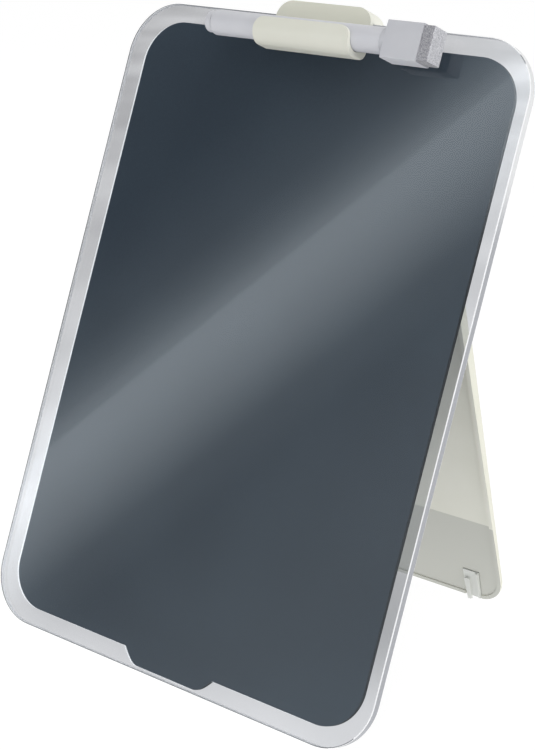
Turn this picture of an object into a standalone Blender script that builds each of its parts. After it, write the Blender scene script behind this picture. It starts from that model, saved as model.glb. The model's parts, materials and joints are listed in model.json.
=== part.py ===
"""Desktop glass whiteboard: a clear glass sheet on a tinted backing, a stand that folds flat behind it, and a
holder on the top edge that carries a pen whose cap ends in an eraser.

Each group of pieces hangs from an empty. In the board's frame X runs to the right, Y runs back from the
writing face, and Z runs up the board from the glass's lower edge. The stand's frame sits on the hinge axis,
the holder's on the middle of the glass's top edge, and the pen's Z runs along the pen towards its cap.
"""
import math

import bmesh
import bpy
from mathutils import Matrix

# Room that facing surfaces keep, and how far a cutter runs past what it cuts
SEAT = 0.0003
OVERRUN = 0.001

# Glass sheet
GLASS_WIDTH = 0.220
GLASS_HEIGHT = 0.302
GLASS_THICKNESS = 0.004
GLASS_CORNER = 0.025
GLASS_ARRIS = 0.0006
BOARD_LIFT = 0.0003

# Film and backing panel, with the tab that reaches down to the lower edge
MARGIN = 0.0081
SIDE_MARGIN = 0.0086
FILM_THICKNESS = 0.00025
PANEL_THICKNESS = 0.0012
TAB_SHOULDER = 0.0273
TAB_FLAT = 0.0175
TAB_ROOM = 0.0009

# Soft strip under the board, behind the tab
STRIP_HALF_WIDTH = 0.014
STRIP_THICKNESS = 0.0015
STRIP_TOP = 0.006

# Hinge bracket, its foam tape and its two knuckles
HINGE_HEIGHT = 0.2255
TAPE_THICKNESS = 0.0008
TAPE_INSET = 0.001
BRACKET_THICKNESS = 0.002
BRACKET_HEIGHT = 0.015
BRACKET_SHOULDER = 0.009
BRACKET_CORNER = 0.004
BRACKET_EDGE = 0.0004
AXIS_STANDOFF = 0.0019
KNUCKLE_INSET = 0.0423
KNUCKLE_WIDTH = 0.012
KNUCKLE_SIDE_GAP = 0.0004
ARM_OVERLAP = 0.004

# Hinge pins
PIN_RADIUS = 0.0014
PIN_REACH = 0.010
PIN_INSET = 0.002

# Stand: a tray that is open towards the board and deepens towards the hinge. It opens to a fixed angle from
# the board, which sets how far the board leans back on the desk.
OPEN_ANGLE = math.radians(40.1465)
LEG_WIDTH = 0.1646
LEG_LENGTH = 0.2117
LEG_CLEARANCE = 0.00165
LEG_CORNER = 0.015
LEG_TOP_CORNER = 0.003
LEG_RIM = 0.002
LEG_FLOOR = 0.0018
LEG_EDGE = 0.0012
TRAY_DEPTH_AT_FOOT = 0.0004
TRAY_DEPTH_AT_HINGE = 0.0054
LUG_WIDTH = 0.0136
SLOT_ROOT_GAP = 0.0006

# Silicone feet in pockets at the stand's lower edge
POCKET_INSET = 0.01705
POCKET_WIDTH = 0.0094
POCKET_HEIGHT = 0.0165
POCKET_DEPTH = 0.0014
FOOT_PAD = 0.0008
RIB_OFFSET = 0.0022
RIB_HEAD_HEIGHT = 0.0104
RIB_HEAD_RADIUS = 0.0015
RIB_TOE_WIDTH = 0.0018
RIB_PROUD = 0.0009
SIDE_RIB_OFFSET = 0.0035
SIDE_RIB_WIDTH = 0.0012
SIDE_RIB_PROUD = 0.0005
SIDE_RIB_INSET = 0.0004

# Pen, measured from the middle of its holder
PEN_RADIUS = 0.0058
PEN_DROP = 0.0086
BARREL_LEFT = 0.0534
BARREL_RIGHT = 0.0385
BARREL_WALL = 0.0013
BARREL_SHOULDER = 0.0012
PLUG_RADIUS = 0.0049
PLUG_LENGTH = 0.0035
PLUG_STEM = 0.008
PLUG_EDGE = 0.001
INK_ROOM = 0.0004
NOSE_STEM = 0.0095
NOSE_RADIUS = 0.004
NOSE_LENGTH = 0.012
NOSE_CONE = 0.003
NOSE_TIP_RADIUS = 0.0026
NIB_RADIUS = 0.0015
NIB_SHOWING = 0.0025

# Cap, the eraser block at its end, the seal inside it and the felt
CAP_LENGTH = 0.0221
COLLAR_LENGTH = 0.004
COLLAR_RADIUS = 0.0056
BLOCK_HALF_HEIGHT = 0.00825
BLOCK_HALF_DEPTH = 0.0057
BLOCK_CORNER = 0.0007
BLOCK_EDGE = 0.0004
CAP_END_WALL = 0.0033
SEAL_WALL = 0.0009
FELT_LENGTH = 0.0053
FELT_STEP = 0.0005
FELT_CHAMFER = 0.0006

# Pen holder: a trough in front of the glass and a saddle over its top edge
HOLDER_HALF_WIDTH = 0.026
HOLDER_WALL = 0.002
PLATE_WALL = 0.0017
TROUGH_FLOOR = 0.0024
PLATE_RISE = 0.0033
PLATE_CORNER = 0.005
TROUGH_CORNER = 0.0045
TROUGH_FRONT_RADIUS = 0.007
TROUGH_BACK_RADIUS = 0.004
TAB_RISE = 0.0063
TAB_CORNER = 0.008
SADDLE_WALL = 0.0025
SADDLE_RADIUS = 0.0045
SADDLE_REACH = 0.014
HOLDER_EDGE = 0.0004
GRIP_HALF_WIDTH = 0.020
GRIP_TOP_ROOM = 0.0005

# Counts
ARC_STEPS = 8
TAB_STEPS = 8
ROUND_STEPS = 32
SMALL_ROUND_STEPS = 20
SHARP_ANGLE = math.radians(50.0)

# Depths in the board's frame, one layer behind the other
FILM_FRONT = GLASS_THICKNESS + SEAT
FILM_BACK = FILM_FRONT + FILM_THICKNESS
PANEL_FRONT = FILM_BACK + SEAT
PANEL_BACK = PANEL_FRONT + PANEL_THICKNESS
TAPE_FRONT = PANEL_BACK + SEAT
TAPE_BACK = TAPE_FRONT + TAPE_THICKNESS
BRACKET_FRONT = TAPE_BACK + SEAT
BRACKET_BACK = BRACKET_FRONT + BRACKET_THICKNESS
HINGE_DEPTH = BRACKET_BACK + AXIS_STANDOFF

# The hinge's knuckles and the feet's pockets keep their places from the stand's side edges
KNUCKLE_SPREAD = LEG_WIDTH / 2 - KNUCKLE_INSET
POCKET_CENTRE = LEG_WIDTH / 2 - POCKET_INSET

# The stand's hinge end is round about the axis, half as thick as the tray is there
BARREL_RADIUS = (TRAY_DEPTH_AT_HINGE + LEG_FLOOR) / 2
LIP_DEPTH = TRAY_DEPTH_AT_HINGE - BARREL_RADIUS
KNUCKLE_RADIUS = BARREL_RADIUS - SEAT
BRACKET_LOW = BARREL_RADIUS + SEAT
SLOT_HALF_WIDTH = KNUCKLE_WIDTH / 2 + KNUCKLE_SIDE_GAP
LUG_END = KNUCKLE_SPREAD + SLOT_HALF_WIDTH + LUG_WIDTH

# The way from the glass's lower edge to the stand's, up the board and back from it. The board leans back
# until both edges are at their own heights above the desk.
FOOT_RISE = HINGE_HEIGHT - LEG_LENGTH * math.cos(OPEN_ANGLE) - BARREL_RADIUS * math.sin(OPEN_ANGLE)
FOOT_SPREAD = (HINGE_DEPTH - GLASS_THICKNESS + LEG_LENGTH * math.sin(OPEN_ANGLE)
               - BARREL_RADIUS * math.cos(OPEN_ANGLE))
BOARD_LEAN = (math.acos((LEG_CLEARANCE - BOARD_LIFT) / math.hypot(FOOT_RISE, FOOT_SPREAD))
              - math.atan2(FOOT_SPREAD, FOOT_RISE))
STAND_SLOPE = OPEN_ANGLE - BOARD_LEAN
BOARD_HEIGHT = BOARD_LIFT + GLASS_THICKNESS * math.sin(BOARD_LEAN)

# How far the stand's back wall reaches past the axis, to meet the bracket when the stand is open
LIP_REACH = (AXIS_STANDOFF - SEAT + LIP_DEPTH * math.cos(OPEN_ANGLE)) / math.sin(OPEN_ANGLE)

# Pen and trough in the holder's frame
PEN_DEPTH = SEAT + HOLDER_WALL + SEAT + PEN_RADIUS
TROUGH_RADIUS = PEN_RADIUS + SEAT
TROUGH_LOW = -PEN_DROP - TROUGH_RADIUS - TROUGH_FLOOR
PLATE_TOP = PLATE_RISE - PEN_DROP
PLATE_BACK = -PEN_DEPTH - TROUGH_RADIUS
PLATE_FRONT = PLATE_BACK - PLATE_WALL
BORE_RADIUS = PEN_RADIUS - BARREL_WALL
CAP_BORE_RADIUS = NOSE_RADIUS + SEAT

# Finishes: colour, roughness, metallic and how much light passes
FINISHES = {
    "clear_glass": ((0.90, 0.95, 0.94), 0.03, 0.0, 1.0),
    "slate_film": ((0.075, 0.088, 0.105), 0.30, 0.0, 0.0),
    "slate_sheet": ((0.040, 0.047, 0.058), 0.45, 0.0, 0.0),
    "ivory_moulding": ((0.72, 0.72, 0.66), 0.42, 0.0, 0.0),
    "clear_silicone": ((0.80, 0.82, 0.78), 0.35, 0.0, 0.4),
    "grey_rubber": ((0.20, 0.20, 0.21), 0.70, 0.0, 0.0),
    "foam_tape": ((0.60, 0.60, 0.58), 0.90, 0.0, 0.0),
    "pin_steel": ((0.62, 0.62, 0.64), 0.25, 1.0, 0.0),
    "pen_grey": ((0.54, 0.55, 0.57), 0.38, 0.0, 0.0),
    "cap_grey": ((0.50, 0.51, 0.53), 0.40, 0.0, 0.0),
    "ink_fibre": ((0.08, 0.08, 0.10), 0.95, 0.0, 0.0),
    "felt_grey": ((0.42, 0.42, 0.44), 1.0, 0.0, 0.0),
}


def clear_scene():
    """Remove every object that the file holds."""
    for thing in list(bpy.data.objects):
        bpy.data.objects.remove(thing, do_unlink=True)


def new_collection(name):
    """Add a collection to the scene."""
    collection = bpy.data.collections.new(name)
    bpy.context.scene.collection.children.link(collection)
    return collection


def finish(name, piece):
    """A Principled material of one of the finishes, made for one piece."""
    colour, roughness, metallic, transmission = FINISHES[name]
    material = bpy.data.materials.new(piece + "_" + name)
    material.use_nodes = True
    shader = material.node_tree.nodes["Principled BSDF"]
    shader.inputs["Base Color"].default_value = (*colour, 1.0)
    shader.inputs["Roughness"].default_value = roughness
    shader.inputs["Metallic"].default_value = metallic
    shader.inputs["Transmission Weight"].default_value = transmission
    material.diffuse_color = (*colour, 1.0)
    return material


def frame(name, collection, parent=None, location=(0, 0, 0), rotation=(0, 0, 0)):
    """An empty that carries a group of pieces."""
    empty = bpy.data.objects.new(name, None)
    empty.location = location
    empty.rotation_euler = rotation
    empty.parent = parent
    collection.objects.link(empty)
    return empty


class Maker:
    """Puts finished pieces in one collection and the shapes that cut or join them in another."""

    def __init__(self):
        self.parts = new_collection("desktop_glass_whiteboard")
        self.tools = new_collection("cutters")

    def piece(self, name, bm, parent, finish_name, location=(0, 0, 0)):
        """A piece of the object."""
        thing = self._object(name, bm, parent, location, self.parts)
        thing.data.materials.append(finish(finish_name, name))
        return thing

    def tool(self, name, bm, parent, location=(0, 0, 0)):
        """A shape that only cuts or joins."""
        thing = self._object(name, bm, parent, location, self.tools)
        thing.hide_render = True
        thing.display_type = "WIRE"
        return thing

    @staticmethod
    def _object(name, bm, parent, location, collection):
        bm.normal_update()
        bmesh.ops.recalc_face_normals(bm, faces=bm.faces)
        mesh = bpy.data.meshes.new(name)
        bm.to_mesh(mesh)
        bm.free()
        mesh.shade_smooth()
        mesh.set_sharp_from_angle(angle=SHARP_ANGLE)
        thing = bpy.data.objects.new(name, mesh)
        thing.parent = parent
        thing.location = location
        collection.objects.link(thing)
        return thing


def combine(thing, tool, operation):
    """Cut a piece with a tool, join it to one or keep what both share."""
    boolean = thing.modifiers.new(tool.name, "BOOLEAN")
    boolean.operation = operation
    boolean.solver = "EXACT"
    boolean.object = tool


def soften(thing, width, segments=2):
    """Round a piece's sharp edges."""
    bevel = thing.modifiers.new("edges", "BEVEL")
    bevel.width = width
    bevel.segments = segments
    bevel.limit_method = "ANGLE"
    bevel.angle_limit = SHARP_ANGLE


def arc(centre, radius, start, end, steps=ARC_STEPS):
    """Points of an arc between two angles in degrees, both ends included."""
    points = []
    for step in range(steps + 1):
        angle = math.radians(start + (end - start) * step / steps)
        points.append((centre[0] + radius * math.cos(angle), centre[1] + radius * math.sin(angle)))
    return points


def rectangle(left, right, low, high):
    """Corners of a plain rectangle."""
    return [(left, low), (right, low), (right, high), (left, high)]


def rounded_rectangle(half_width, low, high, low_radius, high_radius):
    """Outline about X = 0, from the lower right corner round to the lower left one."""
    return (arc((half_width - low_radius, low + low_radius), low_radius, -90, 0)
            + arc((half_width - high_radius, high - high_radius), high_radius, 0, 90)
            + arc((high_radius - half_width, high - high_radius), high_radius, 90, 180)
            + arc((low_radius - half_width, low + low_radius), low_radius, 180, 270))


def slab(outline, front, back):
    """Closed body between two depths that share an outline of X and Z; back may be a function of Z."""
    bm = bmesh.new()
    face = bm.faces.new([bm.verts.new((x, front, z)) for x, z in outline])
    moved = bmesh.ops.extrude_face_region(bm, geom=[face])["geom"]
    for vert in moved:
        if isinstance(vert, bmesh.types.BMVert):
            vert.co.y = back(vert.co.z) if callable(back) else back
    return bm


def extrusion(outline, half_width):
    """Closed body that sweeps an outline of Y and Z along X."""
    bm = bmesh.new()
    face = bm.faces.new([bm.verts.new((-half_width, y, z)) for y, z in outline])
    moved = bmesh.ops.extrude_face_region(bm, geom=[face])["geom"]
    for vert in moved:
        if isinstance(vert, bmesh.types.BMVert):
            vert.co.x = half_width
    return bm


def rod(radius, left, right, steps=SMALL_ROUND_STEPS):
    """Cylinder about the X axis."""
    bm = bmesh.new()
    place = Matrix.Translation(((left + right) / 2, 0, 0)) @ Matrix.Rotation(math.pi / 2, 4, "Y")
    bmesh.ops.create_cone(bm, cap_ends=True, segments=steps, radius1=radius, radius2=radius,
                          depth=right - left, matrix=place)
    return bm


def turned(maker, name, profile, parent, finish_name, steps=ROUND_STEPS, closed=False, location=(0, 0, 0)):
    """Piece turned about Z from a profile of radius and height; a closed profile is a ring's section."""
    bm = bmesh.new()
    verts = [bm.verts.new((radius, 0, z)) for radius, z in profile]
    for first, second in zip(verts, verts[1:]):
        bm.edges.new((first, second))
    if closed:
        bm.edges.new((verts[-1], verts[0]))
    thing = maker.piece(name, bm, parent, finish_name, location)
    screw = thing.modifiers.new("turn", "SCREW")
    screw.steps = steps
    screw.render_steps = steps
    screw.use_merge_vertices = not closed
    screw.merge_threshold = 0.00001
    screw.use_smooth_shade = True
    return thing


def loft(rings):
    """Closed body through rings of equally many points."""
    bm = bmesh.new()
    loops = [[bm.verts.new(point) for point in ring] for ring in rings]
    for lower, upper in zip(loops, loops[1:]):
        for i, vert in enumerate(lower):
            j = (i + 1) % len(lower)
            bm.faces.new((vert, lower[j], upper[j], upper[i]))
    bm.faces.new(loops[0])
    bm.faces.new(loops[-1])
    return bm


def desk_line(depth):
    """Where the desk lies at a depth, along the board, below or above the glass's lower edge."""
    return ((depth - GLASS_THICKNESS) * math.sin(BOARD_LEAN) - BOARD_LIFT) / math.cos(BOARD_LEAN)


def desk_line_at_foot(depth):
    """Where the desk lies at a depth behind the stand's front, along the stand, from its lower edge."""
    return -(LEG_CLEARANCE + depth * math.sin(STAND_SLOPE)) / math.cos(STAND_SLOPE)


def backing_outline():
    """The backing's outline, with the tab that sweeps down from sharp shoulders to the lower edge."""
    low = MARGIN
    tab_low = desk_line(PANEL_BACK) + TAB_ROOM
    corner = GLASS_CORNER - MARGIN
    outline = rounded_rectangle(GLASS_WIDTH / 2 - SIDE_MARGIN, low, GLASS_HEIGHT - MARGIN, corner, corner)
    slope = []
    for step in range(TAB_STEPS + 1):
        share = step / TAB_STEPS
        x = TAB_SHOULDER + (TAB_FLAT - TAB_SHOULDER) * share
        slope.append((x, low + (tab_low - low) * math.sin(share * math.pi / 2)))
    return outline + [(-x, z) for x, z in slope] + slope[::-1]


def make_board(maker, board):
    """Glass, film, backing panel and the soft strip that they stand on."""
    glass_outline = rounded_rectangle(GLASS_WIDTH / 2, 0, GLASS_HEIGHT, GLASS_CORNER, GLASS_CORNER)
    glass = maker.piece("glass_panel", slab(glass_outline, 0, GLASS_THICKNESS), board, "clear_glass")
    soften(glass, GLASS_ARRIS)
    outline = backing_outline()
    maker.piece("bond_film", slab(outline, FILM_FRONT, FILM_BACK), board, "slate_film")
    maker.piece("backing_panel", slab(outline, PANEL_FRONT, PANEL_BACK), board, "slate_sheet")
    strip_front = PANEL_BACK + SEAT
    strip = slab(rectangle(-STRIP_HALF_WIDTH, STRIP_HALF_WIDTH, 0, STRIP_TOP),
                 strip_front, strip_front + STRIP_THICKNESS)
    for vert in strip.verts:
        if vert.co.z == 0:
            vert.co.z = desk_line(vert.co.y)
    maker.piece("board_foot", strip, board, "clear_silicone")


def make_bracket(maker, board):
    """Bracket with its knuckles about the hinge axis, and the tape that holds it to the panel."""
    low = HINGE_HEIGHT + BRACKET_LOW
    high = low + BRACKET_HEIGHT
    half_width = KNUCKLE_SPREAD + KNUCKLE_WIDTH / 2 + BRACKET_SHOULDER
    tape = rectangle(TAPE_INSET - half_width, half_width - TAPE_INSET, low + TAPE_INSET, high - TAPE_INSET)
    maker.piece("hinge_tape", slab(tape, TAPE_FRONT, TAPE_BACK), board, "foam_tape")
    plate = rounded_rectangle(half_width, low, high, BRACKET_CORNER, BRACKET_CORNER)
    bracket = maker.piece("hinge_bracket", slab(plate, BRACKET_FRONT, BRACKET_BACK), board, "ivory_moulding")
    soften(bracket, BRACKET_EDGE)
    for side in (-1, 1):
        centre = side * KNUCKLE_SPREAD
        place = (0, HINGE_DEPTH, HINGE_HEIGHT)
        arm = slab(rectangle(centre - KNUCKLE_WIDTH / 2, centre + KNUCKLE_WIDTH / 2, 0,
                             BRACKET_LOW + ARM_OVERLAP), -KNUCKLE_RADIUS, 0)
        knuckle = rod(KNUCKLE_RADIUS, centre - KNUCKLE_WIDTH / 2, centre + KNUCKLE_WIDTH / 2)
        bore = rod(PIN_RADIUS + SEAT, centre - KNUCKLE_WIDTH, centre + KNUCKLE_WIDTH)
        label = "left" if side < 0 else "right"
        combine(bracket, maker.tool("arm_" + label, arm, board, place), "UNION")
        combine(bracket, maker.tool("knuckle_" + label, knuckle, board, place), "UNION")
        combine(bracket, maker.tool("knuckle_bore_" + label, bore, board, place), "DIFFERENCE")


def tray_floor(z):
    """Depth of the tray's inner floor at a height in the stand's frame."""
    share = (z + LEG_LENGTH) / LEG_LENGTH
    return TRAY_DEPTH_AT_FOOT + (TRAY_DEPTH_AT_HINGE - TRAY_DEPTH_AT_FOOT) * share - BARREL_RADIUS


def leg_blank():
    """The stand's outer form, with its back edges rounded."""
    outline = rounded_rectangle(LEG_WIDTH / 2, -LEG_LENGTH, LIP_REACH, LEG_CORNER, LEG_TOP_CORNER)
    bm = slab(outline, -BARREL_RADIUS, lambda z: tray_floor(z) + LEG_FLOOR)
    back = [edge for edge in bm.edges
            if all(vert.co.y > tray_floor(vert.co.z) for vert in edge.verts)]
    bmesh.ops.bevel(bm, geom=back, offset=LEG_EDGE, segments=3, profile=0.5, affect="EDGES")
    return bm


def tray_outline(top):
    """The tray's hollow: it ends at the hinge's lugs and runs out at the top on both sides of them."""
    half_width = LEG_WIDTH / 2 - LEG_RIM
    radius = LEG_CORNER - LEG_RIM
    low = LEG_RIM - LEG_LENGTH + radius
    return (arc((half_width - radius, low), radius, -90, 0)
            + [(half_width, top), (LUG_END, top), (LUG_END, -BARREL_RADIUS)]
            + [(-LUG_END, -BARREL_RADIUS), (-LUG_END, top), (-half_width, top)]
            + arc((radius - half_width, low), radius, 180, 270))


def leg_tools(maker, stand):
    """What is cut from the stand's blank: hinge rounding, tray, slots, bores and pockets."""
    front = -BARREL_RADIUS - OVERRUN
    top = LIP_REACH + OVERRUN
    half_width = LEG_WIDTH / 2
    lip_angle = math.degrees(math.acos(LIP_DEPTH / BARREL_RADIUS))
    rounding = arc((0, 0), BARREL_RADIUS, 180, lip_angle) + [(LIP_DEPTH, top), (front, top), (front, 0)]
    yield maker.tool("hinge_rounding", extrusion(rounding, half_width + OVERRUN), stand)
    yield maker.tool("tray", slab(tray_outline(top), front, tray_floor), stand)
    for side, label in ((-1, "left"), (1, "right")):
        centre = side * KNUCKLE_SPREAD
        slot = rectangle(centre - SLOT_HALF_WIDTH, centre + SLOT_HALF_WIDTH,
                         -BARREL_RADIUS - SLOT_ROOT_GAP, top)
        yield maker.tool("slot_" + label, slab(slot, front, BARREL_RADIUS + OVERRUN), stand)
        near, far = sorted((side * (pin_start() - SEAT), side * (LUG_END + OVERRUN)))
        yield maker.tool("bore_" + label, rod(PIN_RADIUS + SEAT, near, far), stand)
        centre = side * POCKET_CENTRE
        pocket = rectangle(centre - POCKET_WIDTH / 2, centre + POCKET_WIDTH / 2,
                           -LEG_LENGTH - OVERRUN, POCKET_HEIGHT - LEG_LENGTH)
        yield maker.tool("pocket_" + label, slab(pocket, front, POCKET_DEPTH - BARREL_RADIUS), stand)


def pin_start():
    """How far from the middle the pins' inner ends lie."""
    return KNUCKLE_SPREAD - SLOT_HALF_WIDTH - PIN_REACH


def silicone_foot(maker, stand, side, label):
    """Foot in its pocket: a pad, a rib that reaches the desk and a slimmer rib beside it."""
    place = (side * POCKET_CENTRE, -BARREL_RADIUS, -LEG_LENGTH)
    back = POCKET_DEPTH - SEAT
    middle = back - FOOT_PAD / 2
    half_width = POCKET_WIDTH / 2 - SEAT
    high = POCKET_HEIGHT - SEAT
    pad = slab(rectangle(-half_width, half_width, 0, high), back - FOOT_PAD, back)
    foot = maker.piece("stand_foot_" + label, pad, stand, "clear_silicone", place)
    centre = -side * RIB_OFFSET
    head = arc((centre, RIB_HEAD_HEIGHT), RIB_HEAD_RADIUS, 0, 180)
    toe = desk_line_at_foot(0)
    rib = slab(head + [(centre - RIB_TOE_WIDTH / 2, toe), (centre + RIB_TOE_WIDTH / 2, toe)],
               -RIB_PROUD, middle)
    for vert in rib.verts:
        if vert.co.z < 0:
            vert.co.z = desk_line_at_foot(vert.co.y)
    combine(foot, maker.tool("rib_" + label, rib, stand, place), "UNION")
    centre = side * SIDE_RIB_OFFSET
    side_rib = slab(rectangle(centre - SIDE_RIB_WIDTH / 2, centre + SIDE_RIB_WIDTH / 2,
                              SIDE_RIB_INSET, high - SIDE_RIB_INSET), -SIDE_RIB_PROUD, middle)
    combine(foot, maker.tool("side_rib_" + label, side_rib, stand, place), "UNION")


def make_stand(maker, stand):
    """The folding leg with its pins and feet."""
    leg = maker.piece("stand_leg", leg_blank(), stand, "ivory_moulding")
    for tool in leg_tools(maker, stand):
        combine(leg, tool, "DIFFERENCE")
    for side, label in ((-1, "left"), (1, "right")):
        near, far = sorted((side * pin_start(), side * (LUG_END - PIN_INSET)))
        maker.piece("hinge_pin_" + label, rod(PIN_RADIUS, near, far), stand, "pin_steel")
        silicone_foot(maker, stand, side, label)


def holder_outline():
    """Side view of the holder: front plate, trough, wall and tab, saddle and rear leg."""
    saddle_front = PANEL_BACK + SEAT
    saddle_back = saddle_front + SADDLE_WALL
    low = TROUGH_LOW
    front_round = (PLATE_FRONT + TROUGH_FRONT_RADIUS, low + TROUGH_FRONT_RADIUS)
    back_round = (-SEAT - TROUGH_BACK_RADIUS, low + TROUGH_BACK_RADIUS)
    return ([(PLATE_FRONT, PLATE_TOP)]
            + arc(front_round, TROUGH_FRONT_RADIUS, 180, 270)
            + arc(back_round, TROUGH_BACK_RADIUS, 270, 360)
            + [(-SEAT, SEAT), (saddle_front, SEAT)]
            + [(saddle_front, -SADDLE_REACH), (saddle_back, -SADDLE_REACH)]
            + arc((saddle_back - SADDLE_RADIUS, TAB_RISE - SADDLE_RADIUS), SADDLE_RADIUS, 0, 90)
            + [(-SEAT - HOLDER_WALL, TAB_RISE)]
            + arc((-PEN_DEPTH, -PEN_DROP), TROUGH_RADIUS, 360, 180, 2 * ARC_STEPS)
            + [(PLATE_BACK, PLATE_TOP)])


def make_holder(maker, holder):
    """Pen holder and the pad in its saddle."""
    body = maker.piece("pen_holder", extrusion(holder_outline(), HOLDER_HALF_WIDTH + OVERRUN), holder,
                       "ivory_moulding")
    depth = PANEL_BACK + SADDLE_WALL + 2 * OVERRUN
    face = rounded_rectangle(HOLDER_HALF_WIDTH, TROUGH_LOW, TAB_RISE, TROUGH_CORNER, TAB_CORNER)
    combine(body, maker.tool("holder_face", slab(face, PLATE_FRONT - OVERRUN, depth), holder), "INTERSECT")
    for side, label in ((-1, "left"), (1, "right")):
        centre = (HOLDER_HALF_WIDTH - PLATE_CORNER, PLATE_TOP - PLATE_CORNER)
        outer = HOLDER_HALF_WIDTH + OVERRUN
        high = PLATE_TOP + OVERRUN
        shape = arc(centre, PLATE_CORNER, 90, 0) + [(outer, centre[1]), (outer, high), (centre[0], high)]
        trim = slab([(side * x, z) for x, z in shape], PLATE_FRONT - OVERRUN, PLATE_BACK + OVERRUN)
        combine(body, maker.tool("plate_corner_" + label, trim, holder), "DIFFERENCE")
    soften(body, HOLDER_EDGE)
    pad = rectangle(-GRIP_HALF_WIDTH, GRIP_HALF_WIDTH, SEAT - MARGIN, -GRIP_TOP_ROOM)
    maker.piece("holder_grip", slab(pad, GLASS_THICKNESS + SEAT, PANEL_BACK), holder, "grey_rubber")


def make_pen(maker, pen):
    """Barrel, end plug, ink reservoir, nose and nib, turned about the pen's axis."""
    shoulder = arc((PEN_RADIUS - BARREL_SHOULDER, BARREL_SHOULDER - BARREL_LEFT), BARREL_SHOULDER, 0, -90, 3)
    barrel = [(BORE_RADIUS, BARREL_RIGHT), (PEN_RADIUS, BARREL_RIGHT), *shoulder, (BORE_RADIUS, -BARREL_LEFT)]
    turned(maker, "pen_barrel", barrel, pen, "pen_grey", closed=True)
    face = -BARREL_LEFT - SEAT
    stem_end = PLUG_STEM - BARREL_LEFT
    stem_radius = BORE_RADIUS - SEAT
    edge = arc((PLUG_RADIUS - PLUG_EDGE, face - PLUG_LENGTH + PLUG_EDGE), PLUG_EDGE, 0, -90, 4)
    nub_start = [(stem_radius, stem_end), (stem_radius, face), (PLUG_RADIUS, face)]
    plug = [(0, stem_end), *nub_start, *edge, (0, face - PLUG_LENGTH)]
    turned(maker, "pen_end_plug", plug, pen, "pen_grey")
    nose_start = BARREL_RIGHT - NOSE_STEM
    ink_radius = BORE_RADIUS - INK_ROOM
    ink_end = nose_start - SEAT
    ink = [(0, ink_end), (ink_radius, ink_end), (ink_radius, stem_end + SEAT), (0, stem_end + SEAT)]
    turned(maker, "ink_reservoir", ink, pen, "ink_fibre", SMALL_ROUND_STEPS)
    nose_end = BARREL_RIGHT + NOSE_LENGTH + NOSE_CONE
    nib_hole = NIB_RADIUS + SEAT
    nose = [(nib_hole, nose_end), (NOSE_TIP_RADIUS, nose_end), (NOSE_RADIUS, BARREL_RIGHT + NOSE_LENGTH),
            (NOSE_RADIUS, BARREL_RIGHT), (stem_radius, BARREL_RIGHT), (stem_radius, nose_start),
            (nib_hole, nose_start)]
    turned(maker, "pen_nose", nose, pen, "pen_grey", closed=True)
    tip = nose_end + NIB_SHOWING
    bullet = arc((0, tip - NIB_RADIUS), NIB_RADIUS, 90, 0, 4)[1:]
    nib = [(0, tip), *bullet, (NIB_RADIUS, nose_start), (0, nose_start)]
    turned(maker, "pen_nib", nib, pen, "ink_fibre", SMALL_ROUND_STEPS)


def drum(radius, length):
    """Cylinder about the Z axis, with its middle at the origin."""
    bm = bmesh.new()
    bmesh.ops.create_cone(bm, cap_ends=True, segments=ROUND_STEPS, radius1=radius, radius2=radius,
                          depth=length)
    return bm


def scaled_rings(outline, levels):
    """Rings of one outline of Y and X, each at a height along the pen and at a scale of its own."""
    return [[(x * scale, y * scale, z) for y, x in outline] for z, scale in levels]


def make_cap(maker, cap):
    """Cap with its collar and eraser block, the seal inside it and the felt on its end."""
    block = rounded_rectangle(BLOCK_HALF_DEPTH, -BLOCK_HALF_HEIGHT, BLOCK_HALF_HEIGHT,
                              BLOCK_CORNER, BLOCK_CORNER)
    inset = 1 - BLOCK_EDGE / BLOCK_HALF_DEPTH
    levels = ((COLLAR_LENGTH, 1), (CAP_LENGTH - BLOCK_EDGE, 1), (CAP_LENGTH, inset))
    body = maker.piece("pen_cap", loft(scaled_rings(block, levels)), cap, "cap_grey")
    collar_end = COLLAR_LENGTH + SEAT
    collar = maker.tool("cap_collar", drum(COLLAR_RADIUS, collar_end), cap, (0, 0, collar_end / 2))
    combine(body, collar, "UNION")
    bore_end = CAP_LENGTH - CAP_END_WALL
    bore = maker.tool("cap_bore", drum(CAP_BORE_RADIUS, bore_end + OVERRUN), cap,
                      (0, 0, (bore_end - OVERRUN) / 2))
    combine(body, bore, "DIFFERENCE")
    outer = CAP_BORE_RADIUS - SEAT
    inner = outer - SEAL_WALL
    mouth = NOSE_LENGTH + NOSE_CONE - SEAT
    seal = [(0, bore_end - SEAT), (outer, bore_end - SEAT), (outer, mouth), (inner, mouth),
            (inner, bore_end - SEAT - SEAL_WALL), (0, bore_end - SEAT - SEAL_WALL)]
    turned(maker, "cap_seal", seal, cap, "clear_silicone", SMALL_ROUND_STEPS)
    half_height = BLOCK_HALF_HEIGHT - FELT_STEP
    half_depth = BLOCK_HALF_DEPTH - FELT_STEP
    pad = rounded_rectangle(half_depth, -half_height, half_height, BLOCK_CORNER, BLOCK_CORNER)
    inset = 1 - FELT_CHAMFER / half_depth
    start = CAP_LENGTH + SEAT
    levels = ((start, 1), (start + FELT_LENGTH - FELT_CHAMFER, 1), (start + FELT_LENGTH, inset))
    maker.piece("eraser_felt", loft(scaled_rings(pad, levels)), cap, "felt_grey")


def centre_on_origin(root, pieces):
    """Move the whole object so that the middle of its footprint lies at the world's origin."""
    bpy.context.view_layer.update()
    depsgraph = bpy.context.evaluated_depsgraph_get()
    depths = []
    for piece in pieces:
        shown = piece.evaluated_get(depsgraph)
        mesh = shown.to_mesh()
        depths += [(shown.matrix_world @ vert.co).y for vert in mesh.vertices]
        shown.to_mesh_clear()
    root.location.y = -(min(depths) + max(depths)) / 2


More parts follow.
